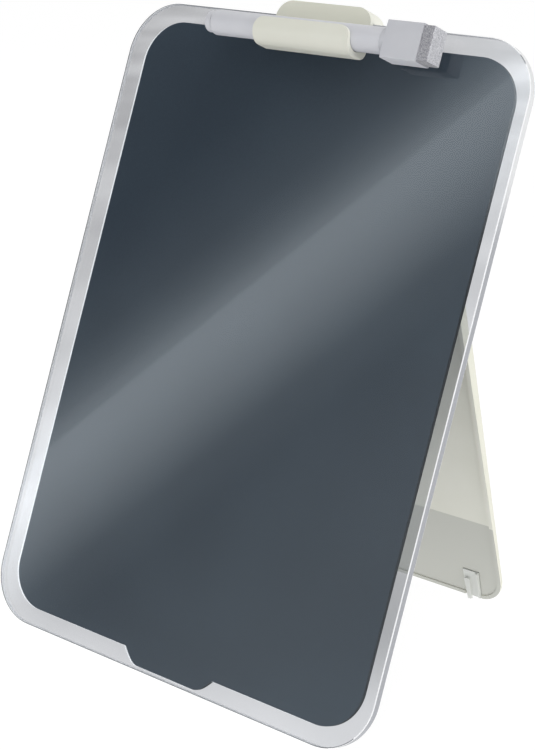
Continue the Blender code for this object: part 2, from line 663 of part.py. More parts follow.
def main():
    """Build every group in its own frame."""
    clear_scene()
    maker = Maker()
    group = maker.parts
    easel = frame("easel", group)
    board = frame("board_frame", group, easel, (0, 0, BOARD_HEIGHT), (-BOARD_LEAN, 0, 0))
    stand = frame("stand_frame", group, board, (0, HINGE_DEPTH, HINGE_HEIGHT), (OPEN_ANGLE, 0, 0))
    holder = frame("holder_frame", group, board, (0, 0, GLASS_HEIGHT))
    pen = frame("pen_frame", group, holder, (0, -PEN_DEPTH, -PEN_DROP), (0, math.pi / 2, 0))
    cap = frame("cap_frame", group, pen, (0, 0, BARREL_RIGHT + SEAT))
    make_board(maker, board)
    make_bracket(maker, board)
    make_stand(maker, stand)
    make_holder(maker, holder)
    make_pen(maker, pen)
    make_cap(maker, cap)
    centre_on_origin(easel, [thing for thing in group.objects if thing.type == "MESH"])


main()
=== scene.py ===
"""The looks of a desktop glass whiteboard: finer pieces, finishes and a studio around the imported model.

Lengths are in metres unless a name ends in _mm. Each group of pieces is modelled in its own frame. In the board's
frame X runs to the right, Y runs back from the writing face and Z runs up the board from the glass's lower edge.
The stand's frame sits on the hinge axis, the holder's on the middle of the glass's top edge, and the pen's Z runs
along the pen towards its cap.
"""

import json
import logging
import math
from dataclasses import dataclass, field
from enum import Enum
from typing import Callable, Optional, Sequence

import bmesh
import bpy
from mathutils import Matrix, Vector, noise


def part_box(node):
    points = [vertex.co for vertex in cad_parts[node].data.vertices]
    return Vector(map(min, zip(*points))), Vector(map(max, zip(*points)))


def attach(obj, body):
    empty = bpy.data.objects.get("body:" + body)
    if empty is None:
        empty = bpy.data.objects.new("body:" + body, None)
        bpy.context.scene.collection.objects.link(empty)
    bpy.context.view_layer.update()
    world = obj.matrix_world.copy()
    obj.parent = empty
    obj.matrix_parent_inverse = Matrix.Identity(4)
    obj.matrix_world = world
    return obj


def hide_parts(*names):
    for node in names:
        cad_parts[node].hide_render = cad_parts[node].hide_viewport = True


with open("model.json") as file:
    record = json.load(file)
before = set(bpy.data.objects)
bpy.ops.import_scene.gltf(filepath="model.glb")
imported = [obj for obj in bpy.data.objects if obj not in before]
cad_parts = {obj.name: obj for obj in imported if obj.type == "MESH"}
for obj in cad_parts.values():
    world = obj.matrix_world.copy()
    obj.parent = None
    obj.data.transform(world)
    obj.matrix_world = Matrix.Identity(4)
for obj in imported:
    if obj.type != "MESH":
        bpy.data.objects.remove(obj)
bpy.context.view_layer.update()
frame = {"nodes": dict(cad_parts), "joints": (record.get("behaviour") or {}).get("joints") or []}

LOG = logging.getLogger("desktop_whiteboard")

Point = tuple[float, float]
Corner = tuple[float, float, float]
Colour = tuple[float, float, float, float]
Tree = bpy.types.NodeTree
Socket = bpy.types.NodeSocket
Polygon = bpy.types.MeshPolygon
BMesh = bmesh.types.BMesh
Data = bpy.types.bpy_struct

MM_PER_METRE = 1000.0
# The play between pieces that sit in each other
SEAT = 0.0003
# How far a cutter reaches past what it cuts
OVERRUN = 0.001
# Points closer than this are one
SAME_POINT = 1e-6
# How many chords a small, a usual and a large arc have, and how many sides a rod and a turned body have
SMALL_ARC, USUAL_ARC, LARGE_ARC = 8, 16, 32
ROD_SIDES, TURNED_SIDES = 48, 72
# A bevel's profile that is round
QUARTER_CIRCLE = 0.5
# The range that a noise keeps to almost everywhere
NOISE_LOW, NOISE_HIGH = 0.3, 0.7


class Body(Enum):
    """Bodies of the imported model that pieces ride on."""

    BOARD = "board"
    STAND = "stand"
    HOLDER = "holder"
    PEN = "pen"
    CAP = "cap"


class Slot(Enum):
    """Material slots of the record, which each piece names."""

    GLASS = "clear_glass"
    FILM = "slate_film"
    SHEET = "slate_sheet"
    IVORY = "ivory_moulding"
    SILICONE = "clear_silicone"
    STEEL = "pin_steel"
    PEN = "pen_grey"
    CAP = "cap_grey"
    INK = "ink_fibre"
    FELT = "felt_grey"


# Colour and nodes


def linear(hex_colour: str) -> Colour:
    """Turn an sRGB colour, written as #RRGGBB, to linear light with an alpha of one."""
    shares = [int(hex_colour[i:i + 2], 16) / 255 for i in (1, 3, 5)]
    return (*(s / 12.92 if s <= 0.04045 else ((s + 0.055) / 1.055) ** 2.4 for s in shares), 1.0)


def per_metre(size_mm: float) -> float:
    """How many features of a size in millimetres fit in a metre."""
    return MM_PER_METRE / size_mm


def set_up(thing: Data, **settings: object) -> Data:
    """Set properties of a node, a modifier or another piece of Blender's data, and hand it back.

    Args:
        thing: What gets the settings.
        settings: The properties and their values.

    Returns:
        The same thing.
    """
    for name, value in settings.items():
        setattr(thing, name, value)
    return thing


def add_node(tree: Tree, kind: str, out: str = "", sockets: Optional[dict] = None,
             **settings: object) -> Optional[Socket]:
    """Add a node with its settings and links.

    Args:
        tree: The node tree that gets the node.
        kind: The node's type name after its ShaderNode.
        out: The output that is wanted.
        sockets: A value, or the output of another node, for inputs by name or number.
        settings: Values of the node's own properties.

    Returns:
        The wanted output, or None where none is named.
    """
    node = set_up(tree.nodes.new(f"ShaderNode{kind}"), **settings)
    for key, value in (sockets or {}).items():
        if isinstance(value, Socket):
            tree.links.new(value, node.inputs[key])
        else:
            node.inputs[key].default_value = value
    return node.outputs[out] if out else None


def empty_tree(owner: bpy.types.Material | bpy.types.World) -> Tree:
    """Give a new material or world an empty node tree.

    Args:
        owner: The material or world.

    Returns:
        Its node tree.
    """
    owner.use_nodes = True
    owner.node_tree.nodes.clear()
    return owner.node_tree


def eased(tree: Tree, point: Socket, axis: str, start: float, end: float) -> Socket:
    """A share that eases from none to all between two places along an axis of the piece.

    Args:
        tree: The material's node tree.
        point: The place on the piece.
        axis: The axis's letter.
        start: Where the share starts to grow.
        end: Where it is all.

    Returns:
        The share.
    """
    place = add_node(tree, "SeparateXYZ", axis, {"Vector": point})
    return add_node(tree, "MapRange", "Result", {"Value": place, "From Min": start, "From Max": end},
                    interpolation_type="SMOOTHSTEP")


# Finishes


@dataclass(frozen=True)
class Finish:
    """A surface: what the real thing is made of and how it was made.

    Its grain has a real size. The grain gives the surface its relief and varies how sharp it shines. It also carries
    the second colour on its crests, unless the colour drifts more slowly than the grain.

    clear is the share of light that passes through, shine and sheen are the shader's own levels, and glow is how much
    the surface gives off. relief is how strongly the grain's depth shows, and dulling is what its troughs and its
    crests add to the roughness.
    """

    name: str
    colour: str
    crest: Optional[str] = None
    roughness: float = 0.4
    ior: float = 1.5
    clear: float = 0.0
    metallic: float = 0.0
    shine: float = 0.5
    sheen: float = 0.0
    glow: float = 0.0
    grain_mm: float = 1.0
    detail: float = 2.0
    stretch: Optional[Corner] = None
    depth_mm: float = 0.0
    relief: float = 0.5
    dulling: Optional[Point] = None
    drift_mm: float = 0.0
    drift_detail: float = 0.0

    def material(self) -> bpy.types.Material:
        """The finish's material, made when it is first asked for.

        Returns:
            The material.
        """
        made = bpy.data.materials.get(self.name)
        if made is None:
            made = bpy.data.materials.new(self.name)
            made.diffuse_color = linear(self.colour)
            tree = empty_tree(made)
            add_node(tree, "OutputMaterial", sockets={"Surface": self.shader(tree)})
        return made

    def shader(self, tree: Tree) -> Socket:
        """Build the finish's nodes.

        Args:
            tree: The material's node tree.

        Returns:
            The output of the last shader.
        """
        point = add_node(tree, "TexCoord", "Object")
        grain = self.grain(tree, point)
        tone = self.tone(tree, point, grain)
        sockets = {"Base Color": tone, "Roughness": self.roughness, "IOR": self.ior, "Metallic": self.metallic,
                   "Transmission Weight": self.clear, "Specular IOR Level": self.shine, "Sheen Weight": self.sheen}
        if self.glow:
            sockets |= {"Emission Color": tone, "Emission Strength": self.glow}
        if self.dulling:
            sockets["Roughness"] = add_node(tree, "MapRange", "Result", {
                "Value": grain, "From Min": NOISE_LOW, "From Max": NOISE_HIGH,
                "To Min": self.roughness + self.dulling[0], "To Max": self.roughness + self.dulling[1]})
        if self.depth_mm:
            sockets["Normal"] = add_node(tree, "Bump", "Normal", {
                "Height": grain, "Distance": self.depth_mm / MM_PER_METRE, "Strength": self.relief})
        return add_node(tree, "BsdfPrincipled", "BSDF", sockets)

    def grain(self, tree: Tree, point: Socket) -> Socket:
        """The grain's height at a point of the piece: a value that rises and falls about 0.5.

        Args:
            tree: The material's node tree.
            point: The place on the piece.

        Returns:
            The height.
        """
        laid = add_node(tree, "Mapping", "Vector", {"Vector": point, "Scale": self.stretch}) if self.stretch else point
        return add_node(tree, "TexNoise", "Fac", {
            "Vector": laid, "Scale": per_metre(self.grain_mm), "Detail": self.detail})

    def drift(self, tree: Tree, point: Socket) -> Socket:
        """The slow drift of the colour at a point of the piece, as a value like the grain's.

        Args:
            tree: The material's node tree.
            point: The place on the piece.

        Returns:
            The drift.
        """
        return add_node(tree, "TexNoise", "Fac", {
            "Vector": point, "Scale": per_metre(self.drift_mm), "Detail": self.drift_detail})

    def share(self, tree: Tree, point: Socket, grain: Socket) -> Socket:
        """How much of the second colour shows at a point where the grain has this height.

        Args:
            tree: The material's node tree.
            point: The place on the piece.
            grain: The grain's height.

        Returns:
            The share, from 0 to 1.
        """
        return add_node(tree, "MapRange", "Result", {
            "Value": self.drift(tree, point) if self.drift_mm else grain, "From Min": NOISE_LOW,
            "From Max": NOISE_HIGH})

    def tone(self, tree: Tree, point: Socket, grain: Socket) -> Socket | Colour:
        """The colour at a point where the grain has this height: the plain one, or a mix of the two.

        Args:
            tree: The material's node tree.
            point: The place on the piece.
            grain: The grain's height.

        Returns:
            The colour, or the output that gives it.
        """
        return linear(self.colour) if self.crest is None else add_node(tree, "Mix", "Result", {
            "Factor": self.share(tree, point, grain), "A": linear(self.colour), "B": linear(self.crest)},
            data_type="RGBA")


@dataclass(frozen=True)
class MouldedPlastic(Finish):
    """Injection-moulded ABS or polypropylene from a spark-eroded mould.

    The fine pits blur its highlights to a satin, and its colour drifts by a shade from place to place.
    """

    grain_mm: float = 0.45
    depth_mm: float = 0.012
    relief: float = 0.4
    dulling: Optional[Point] = (-0.05, 0.05)
    drift_mm: float = 22.0
    drift_detail: float = 3.0


@dataclass(frozen=True)
class BandedPlastic(MouldedPlastic):
    """The same moulding, painted a shade greyer up to a line near its lower edge: painted shade."""

    painted_shade_band: str = "#C9CAC2"
    painted_shade_low: float = -0.1643
    painted_shade_high: float = -0.1637

    def tone(self, tree: Tree, point: Socket, grain: Socket) -> Socket | Colour:
        """The painted shade below its upper edge, and the drifting colour above it."""
        return add_node(tree, "Mix", "Result", {
            "Factor": eased(tree, point, "Z", self.painted_shade_low, self.painted_shade_high), "A": linear(self.painted_shade_band),
            "B": super().tone(tree, point, grain)}, data_type="RGBA")


@dataclass(frozen=True)
class FloatGlass(Finish):
    """Float glass, toughened and polished.

    It mirrors like still water and greys what lies behind it, by a shade more in some places than in others.
    """

    clear: float = 1.0
    grain_mm: float = 45.0
    detail: float = 0.0
    lamp_share: str = "#E4E6E8"

    def shader(self, tree: Tree) -> Socket:
        """Clear glass that lets lamps through to what lies behind it."""
        open_way = add_node(tree, "BsdfTransparent", "BSDF", {"Color": linear(self.lamp_share)})
        return add_node(tree, "MixShader", "Shader", {
            0: add_node(tree, "LightPath", "Is Shadow Ray"), 1: super().shader(tree), 2: open_way})


@dataclass(frozen=True)
class FrostedEdge(Finish):
    """The glass's edge, ground with a fine wheel.

    The grit leaves it grey and silky, part clear and part white. Its pale share, which grows between two places
    along one axis of the sheet, and its glow are painted light.
    """

    grain_mm: float = 0.12
    depth_mm: float = 0.004
    dulling: Optional[Point] = (-0.08, 0.08)
    pale_axis: str = "Z"
    pale_from: float = 0.0
    pale_to: float = 1.0

    def share(self, tree: Tree, point: Socket, grain: Socket) -> Socket:
        """How much of the pale painted highlight shows along the sheet."""
        return eased(tree, point, self.pale_axis, self.pale_from, self.pale_to)


@dataclass(frozen=True)
class TintedSheet(Finish):
    """Calendered plastic sheet or film, tinted through.

    A fine grain of pigment keeps the flat field from looking painted, and slow clouds stand for its slight
    unevenness. Where it glows, the glow is painted light that softens the shade cast on it.
    """

    grain_mm: float = 0.6
    detail: float = 4.0
    depth_mm: float = 0.0005
    relief: float = 0.3
    dulling: Optional[Point] = (-0.04, 0.04)
    drift_mm: float = 70.0
    drift_detail: float = 1.0
    sum_range: Point = (0.7, 1.3)

    def share(self, tree: Tree, point: Socket, grain: Socket) -> Socket:
        """How much of the second colour shows, from the pigment's grain and the clouds together."""
        both = add_node(tree, "Math", "Value", {0: grain, 1: self.drift(tree, point)}, operation="ADD")
        return add_node(tree, "MapRange", "Result", {
            "Value": both, "From Min": self.sum_range[0], "From Max": self.sum_range[1]})


@dataclass(frozen=True)
class CastSilicone(Finish):
    """Clear silicone or adhesive, cast or cured in place.

    It is milky where it is thick, with soft ripples. Where it glows, the glow is painted light, which makes it
    show as a bright line.
    """

    grain_mm: float = 2.5
    detail: float = 1.0
    depth_mm: float = 0.005
    relief: float = 0.3
    dulling: Optional[Point] = (-0.06, 0.06)


@dataclass(frozen=True)
class MattSoft(Finish):
    """Rubber or foam, pressed or cut.

    Its open surface swallows highlights and shows its cells as a fine mottle.
    """

    grain_mm: float = 0.6
    depth_mm: float = 0.05
    relief: float = 0.6
    dulling: Optional[Point] = (-0.05, 0.0)

    def grain(self, tree: Tree, point: Socket) -> Socket:
        """The cells' height."""
        return add_node(tree, "TexVoronoi", "Distance", {"Vector": point, "Scale": per_metre(self.grain_mm)})

    def share(self, tree: Tree, point: Socket, grain: Socket) -> Socket:
        """The cells carry the second colour as they are."""
        return grain


@dataclass(frozen=True)
class PressedFelt(Finish):
    """Needle-punched wool and polyester felt.

    Pale and dark fibres lie mixed, so that it looks speckled close to and soft at its edges, under a sheen. The real
    fibres are finer than the grain drawn here.
    """

    grain_mm: float = 0.45
    detail: float = 6.0
    depth_mm: float = 0.12
    relief: float = 0.8
    sheen: float = 0.35


@dataclass(frozen=True)
class InkedFibre(Finish):
    """Polyester fibre drawn into a rod and soaked in ink.

    It is dark, matt and streaked along its length. The real fibres are finer than the streaks drawn here.
    """

    grain_mm: float = 0.15
    detail: float = 3.0
    stretch: Optional[Corner] = (1.0, 1.0, 0.08)
    depth_mm: float = 0.03


@dataclass(frozen=True)
class DrawnSteel(Finish):
    """Steel wire drawn through a die: bright, with hairlines along its length that vary its shine."""

    metallic: float = 1.0
    grain_mm: float = 0.08
    stretch: Optional[Corner] = (0.02, 1.0, 1.0)
    dulling: Optional[Point] = (-0.06, 0.1)


class Look:
    """Every finish of the object: its name, its colours, its roughness and its IOR come first."""

    GLASS = FloatGlass("float_glass_toughened", "#C8C9CC", "#D3D4D7", 0.0, 1.52)
    # The right edge's pale top is a painted highlight
    EDGE = FrostedEdge("float_glass_edge_painted_highlight", "#B0B2B8", "#F2F3F4", 0.3, 1.52, clear=0.25, pale_from=0.215,
                       pale_to=0.25)
    # A pale glowing edge: painted light
    PALE_EDGE = FrostedEdge("float_glass_edge_painted_glow", "#E9EBED", None, 0.3, 1.52, clear=0.2, glow=0.25)
    # A dark arris to the left and below: painted shade
    ARRIS = FrostedEdge("float_glass_painted_shade_arris", "#4E5359", None, 0.25, 1.52, clear=0.2)
    # Dark, and pale with a glow towards its right end: painted shade and painted highlight
    ARRIS_TOP = FrostedEdge("float_glass_top_arris_painted_shade_and_highlight", "#6A6F75", "#F2F3F4", 0.25, 1.52, clear=0.2, glow=0.1,
                            pale_axis="X", pale_from=0.0, pale_to=0.05)
    # A pale glowing arris to the right and at the back: painted highlight
    ARRIS_LIT = FrostedEdge("float_glass_painted_highlight_arris", "#F0F1F3", None, 0.3, 1.52, clear=0.1, glow=0.1)
    # The film is wetted onto the glass by its bond, so no air is left there for its face to shine in
    # The film's glow is painted light that lifts the shade cast on it by the holder and the pen
    FILM = TintedSheet("slate_film_calendered", "#3A434C", "#3F4952", 0.6, shine=0.0, glow=0.44)
    # The bond's glow is painted light: a pale line beside the film's left and lower edges
    BOND = CastSilicone("acrylic_bond_painted_glow", "#F4F6F6", None, 0.4, 1.47, clear=0.05, glow=0.9)
    SHEET = TintedSheet("slate_sheet_extruded", "#343A42", "#3C434C", 0.5, depth_mm=0.02)
    # Near black, darker than the sheet's own colour: painted shade of the edge and the gap beside it
    SHEET_EDGE = TintedSheet("slate_sheet_edge_painted_shade", "#0A0B0D", "#14161A", 0.9, shine=0.0)
    IVORY = MouldedPlastic("abs_ivory_moulded", "#DFDFD4", "#DCDCD0", 0.4, 1.53)
    # The stand's inner faces: a lighter copy, painted light, greyer low down, painted shade
    IVORY_STAND = BandedPlastic("abs_ivory_stand_painted_light_and_shade", "#EBEBE0", "#E8E8DC", 0.42, 1.53)
    # A lighter copy: on the holder's tab it is painted light that lifts the shade behind the pen
    IVORY_SIDE = MouldedPlastic("abs_ivory_painted_lighter_copy", "#E6E6D8", "#E3E3D4", 0.4, 1.53)
    # A paler copy on the holder's ends and upper rims: painted highlight
    IVORY_RIM = MouldedPlastic("abs_ivory_rim_painted_highlight", "#F1F1E6", "#EDEDE1", 0.4, 1.53)
    SILICONE = CastSilicone("silicone_cast_clear", "#E9EBE6", None, 0.35, 1.41, clear=0.15)
    RUBBER = MattSoft("epdm_rubber_pressed", "#3C3C3E", "#4A4A4C", 0.75)
    FOAM = MattSoft("foam_tape_closed_cell", "#B4B4B0", "#D8D8D4", 0.95, 1.45)
    STEEL = DrawnSteel("steel_wire_drawn", "#A9AAAD", "#C9CACC", 0.28)
    PEN = MouldedPlastic("polypropylene_grey_moulded", "#D0D1D6", "#CBCCD2", 0.38, 1.49, drift_mm=14.0)
    CAP = MouldedPlastic("polypropylene_grey_moulded_cap", "#C5C6CB", "#C0C1C7", 0.4, 1.49, drift_mm=14.0)
    # A paler copy for the block's underside: painted light from below
    CAP_UNDER = MouldedPlastic("polypropylene_grey_under_painted_light", "#E6E7EC", "#E2E3E9", 0.4, 1.49, drift_mm=14.0)
    INK = InkedFibre("polyester_fibre_inked", "#17181F", "#2B2D38", 0.95)
    FELT = PressedFelt("wool_felt_needled", "#9C9DA4", "#E7E7EB", 1.0)
    # A darker copy for the felt's sides: painted shade
    FELT_SIDE = PressedFelt("wool_felt_side_painted_shade", "#707178", "#B8B8BD", 1.0)


# Outlines and bodies


def arc(centre: Point, radius: float, start: float, end: float, steps: int = USUAL_ARC) -> list[Point]:
    """Points of an arc between two angles in degrees, both ends included."""
    angles = [math.radians(start + (end - start) * step / steps) for step in range(steps + 1)]
    return [(centre[0] + radius * math.cos(a), centre[1] + radius * math.sin(a)) for a in angles]


def box_outline(left: float, right: float, low: float, high: float) -> list[Point]:
    """Corners of a plain rectangle."""
    return [(left, low), (right, low), (right, high), (left, high)]


def rounded_outline(half_width: float, low: float, high: float, low_radius: float, high_radius: float,
                    steps: int = USUAL_ARC) -> list[Point]:
    """Outline of a rounded rectangle about X = 0, from its lower right corner round to its lower left one.

    Args:
        half_width: Half of its width.
        low: Its lower edge.
        high: Its upper edge.
        low_radius: The radius of its lower corners.
        high_radius: The radius of its upper corners.
        steps: How many chords a corner has.

    Returns:
        The outline's points.
    """
    corners = ((1, low + low_radius, low_radius, -90), (1, high - high_radius, high_radius, 0),
               (-1, high - high_radius, high_radius, 90), (-1, low + low_radius, low_radius, 180))
    return [point for side, z, radius, start in corners
            for point in arc((side * (half_width - radius), z), radius, start, start + 90, steps)]


def swept(outline: Sequence[Corner], axis: int, end: float | Callable[[float], float],
          into: Optional[BMesh] = None) -> BMesh:
    """Closed body that sweeps a flat outline along an axis.

    Args:
        outline: The outline's points where the body starts.
        axis: The axis's number.
        end: Where the body ends, or a function that gives it at a height.
        into: A body that takes it in.

    Returns:
        The body.
    """
    bm = bmesh.new() if into is None else into
    face = bm.faces.new([bm.verts.new(corner) for corner in outline])
    for vert in bmesh.ops.extrude_face_region(bm, geom=[face])["geom"]:
        if isinstance(vert, bmesh.types.BMVert):
            vert.co[axis] = end(vert.co.z) if callable(end) else end
    return bm


def slab(outline: Sequence[Point], front: float, back: float | Callable[[float], float],
         into: Optional[BMesh] = None) -> BMesh:
    """Closed body between two depths that share an outline of X and Z."""
    return swept([(x, front, z) for x, z in outline], 1, back, into)


def rod(radius: float, left: float, right: float) -> BMesh:
    """Cylinder about the X axis.

    Args:
        radius: Its radius.
        left: Where it starts.
        right: Where it ends.

    Returns:
        The body.
    """
    bm = bmesh.new()
    place = Matrix.Translation(((left + right) / 2, 0, 0)) @ Matrix.Rotation(math.pi / 2, 4, "Y")
    bmesh.ops.create_cone(bm, cap_ends=True, segments=ROD_SIDES, radius1=radius, radius2=radius,
                          depth=right - left, matrix=place)
    return bm


def turned(profile: Sequence[Point], closed: bool = False) -> BMesh:
    """Body turned about Z.

    Args:
        profile: Points of radius and height; a closed profile is a ring's section.
        closed: True where the profile's last point joins its first.

    Returns:
        The body.
    """
    bm = bmesh.new()
    verts = [bm.verts.new((radius, 0, z)) for radius, z in profile]
    pairs = list(zip(verts, verts[1:])) + ([(verts[-1], verts[0])] if closed else [])
    edges = [bm.edges.new(pair) for pair in pairs]
    bmesh.ops.spin(bm, geom=verts + edges, axis=(0, 0, 1), cent=(0, 0, 0), angle=math.tau, steps=TURNED_SIDES,
                   use_merge=True)
    bmesh.ops.remove_doubles(bm, verts=bm.verts, dist=SAME_POINT)
    return bm


def as_object(name: str, bm: BMesh, place: Matrix) -> bpy.types.Object:
    """Put a body in the scene.

    Args:
        name: The object's name.
        bm: The body, which is freed.
        place: Where its frame lies.

    Returns:
        The object.
    """
    bm.normal_update()
    bmesh.ops.recalc_face_normals(bm, faces=bm.faces)
    mesh = bpy.data.meshes.new(name)
    bm.to_mesh(mesh)
    bm.free()
    mesh.shade_smooth()
    thing = bpy.data.objects.new(name, mesh)
    thing.matrix_world = place
    bpy.context.scene.collection.objects.link(thing)
    return thing


def dress(thing: bpy.types.Object, finishes: Sequence[Finish],
          zone: Optional[Callable[[Polygon], Finish]] = None) -> None:
    """Give an object its materials.

    Args:
        thing: The object.
        finishes: Its finishes.
        zone: Which of them a face wears; without it all wear the first.
    """
    thing.data.materials.clear()
    for finish in finishes:
        thing.data.materials.append(finish.material())
    for face in thing.data.polygons:
        face.material_index = finishes.index(zone(face)) if zone else 0


@dataclass
class Piece:
    """One finished piece on its way into the scene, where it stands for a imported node."""

    name: str
    body: Body
    slot: Slot
    place: Matrix
    node: str
    finishes: Sequence[Finish]
    edge: float = 0.0
    edge_steps: int = 3
    sharp: float = 35.0
    cuts: list[tuple[BMesh, str]] = field(default_factory=list)

    def make(self, bm: BMesh, zone: Optional[Callable[[Polygon], Finish]] = None) -> None:
        """Cut, round, dress and seat the piece.

        Args:
            bm: The piece's blank.
            zone: Which finish a face wears; without it all wear the first.
        """
        thing = as_object(self.name, bm, self.place)
        tools = []
        for number, (cutter, operation) in enumerate(self.cuts):
            tool = as_object(f"{self.name}_tool_{number}", cutter, self.place)
            tools.append(tool)
            set_up(thing.modifiers.new(tool.name, "BOOLEAN"), operation=operation, solver="EXACT", object=tool)
        if self.edge > 0:
            set_up(thing.modifiers.new("edges", "BEVEL"), width=self.edge, segments=self.edge_steps,
                   limit_method="ANGLE", angle_limit=math.radians(self.sharp), harden_normals=True)
        if thing.modifiers:
            bpy.context.view_layer.update()
            depsgraph = bpy.context.evaluated_depsgraph_get()
            finished = bpy.data.meshes.new_from_object(thing.evaluated_get(depsgraph), depsgraph=depsgraph)
            thing.modifiers.clear()
            thing.data = finished
        for tool in tools:
            bpy.data.objects.remove(tool)
        if self.edge <= 0:
            thing.data.set_sharp_from_angle(angle=math.radians(self.sharp))
        dress(thing, self.finishes, zone)
        # The photograph's glass shows the cap's mirror image, but only the shade of the pen and its holder
        thing.visible_glossy = self.body not in (Body.HOLDER, Body.PEN)
        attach(thing, self.body.value)
        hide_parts(self.node)
        LOG.info("%s: %d faces", self.name, len(thing.data.polygons))


# The object


def joint(name: str) -> dict:
    """A joint of the record by its name."""
    return next(found for found in frame["joints"] if found["name"] == name)


@dataclass
class Layout:
    """Where each body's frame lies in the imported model, worked out from its joints and boxes."""

    hinge_depth: float = 0.01135
    hinge_height: float = 0.2255
    open_angle: float = math.radians(40.1465)
    glass_height: float = 0.302
    knuckle_spread: float = 0.040
    pen_radius: float = 0.0058
    barrel_right: float = 0.0385
    barrel_reach: float = 0.0018

    @property
    def lean(self) -> float:
        """How far the board leans back, from the way the pen is lifted."""
        up = joint("pen_lift")["axis"]
        return math.atan2(up[1], up[2])

    def hinge(self, turn: float) -> Matrix:
        """A frame on the hinge axis, turned about it."""
        return Matrix.Translation(joint("stand_fold")["pos_m"]) @ Matrix.Rotation(turn, 4, "X")

    @property
    def board(self) -> Matrix:
        """The board's frame, from the hinge axis and its place on the board."""
        return self.hinge(-self.lean) @ Matrix.Translation((0, -self.hinge_depth, -self.hinge_height))

    @property
    def stand(self) -> Matrix:
        """The stand's frame on the hinge axis."""
        return self.hinge(self.open_angle - self.lean)

    @property
    def holder(self) -> Matrix:
        """The holder's frame on the glass's top edge."""
        return self.board @ Matrix.Translation((0, 0, self.glass_height))

    @property
    def pen(self) -> Matrix:
        """The pen's frame on its own axis, level with the middle of the holder.

        Returns:
            The frame.
        """
        centre = sum(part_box("pen_nib"), Vector()) / 2
        centre.x = 0
        turn = Matrix.Rotation(-self.lean, 4, "X") @ Matrix.Rotation(math.pi / 2, 4, "Y")
        return Matrix.Translation(centre) @ turn

    @property
    def cap(self) -> Matrix:
        """The cap's frame at its mouth."""
        return self.pen @ Matrix.Translation((0, 0, self.barrel_right + SEAT))


@dataclass
class Group:
    """A sub-assembly, which holds its sizes and builds its pieces."""

    layout: Layout


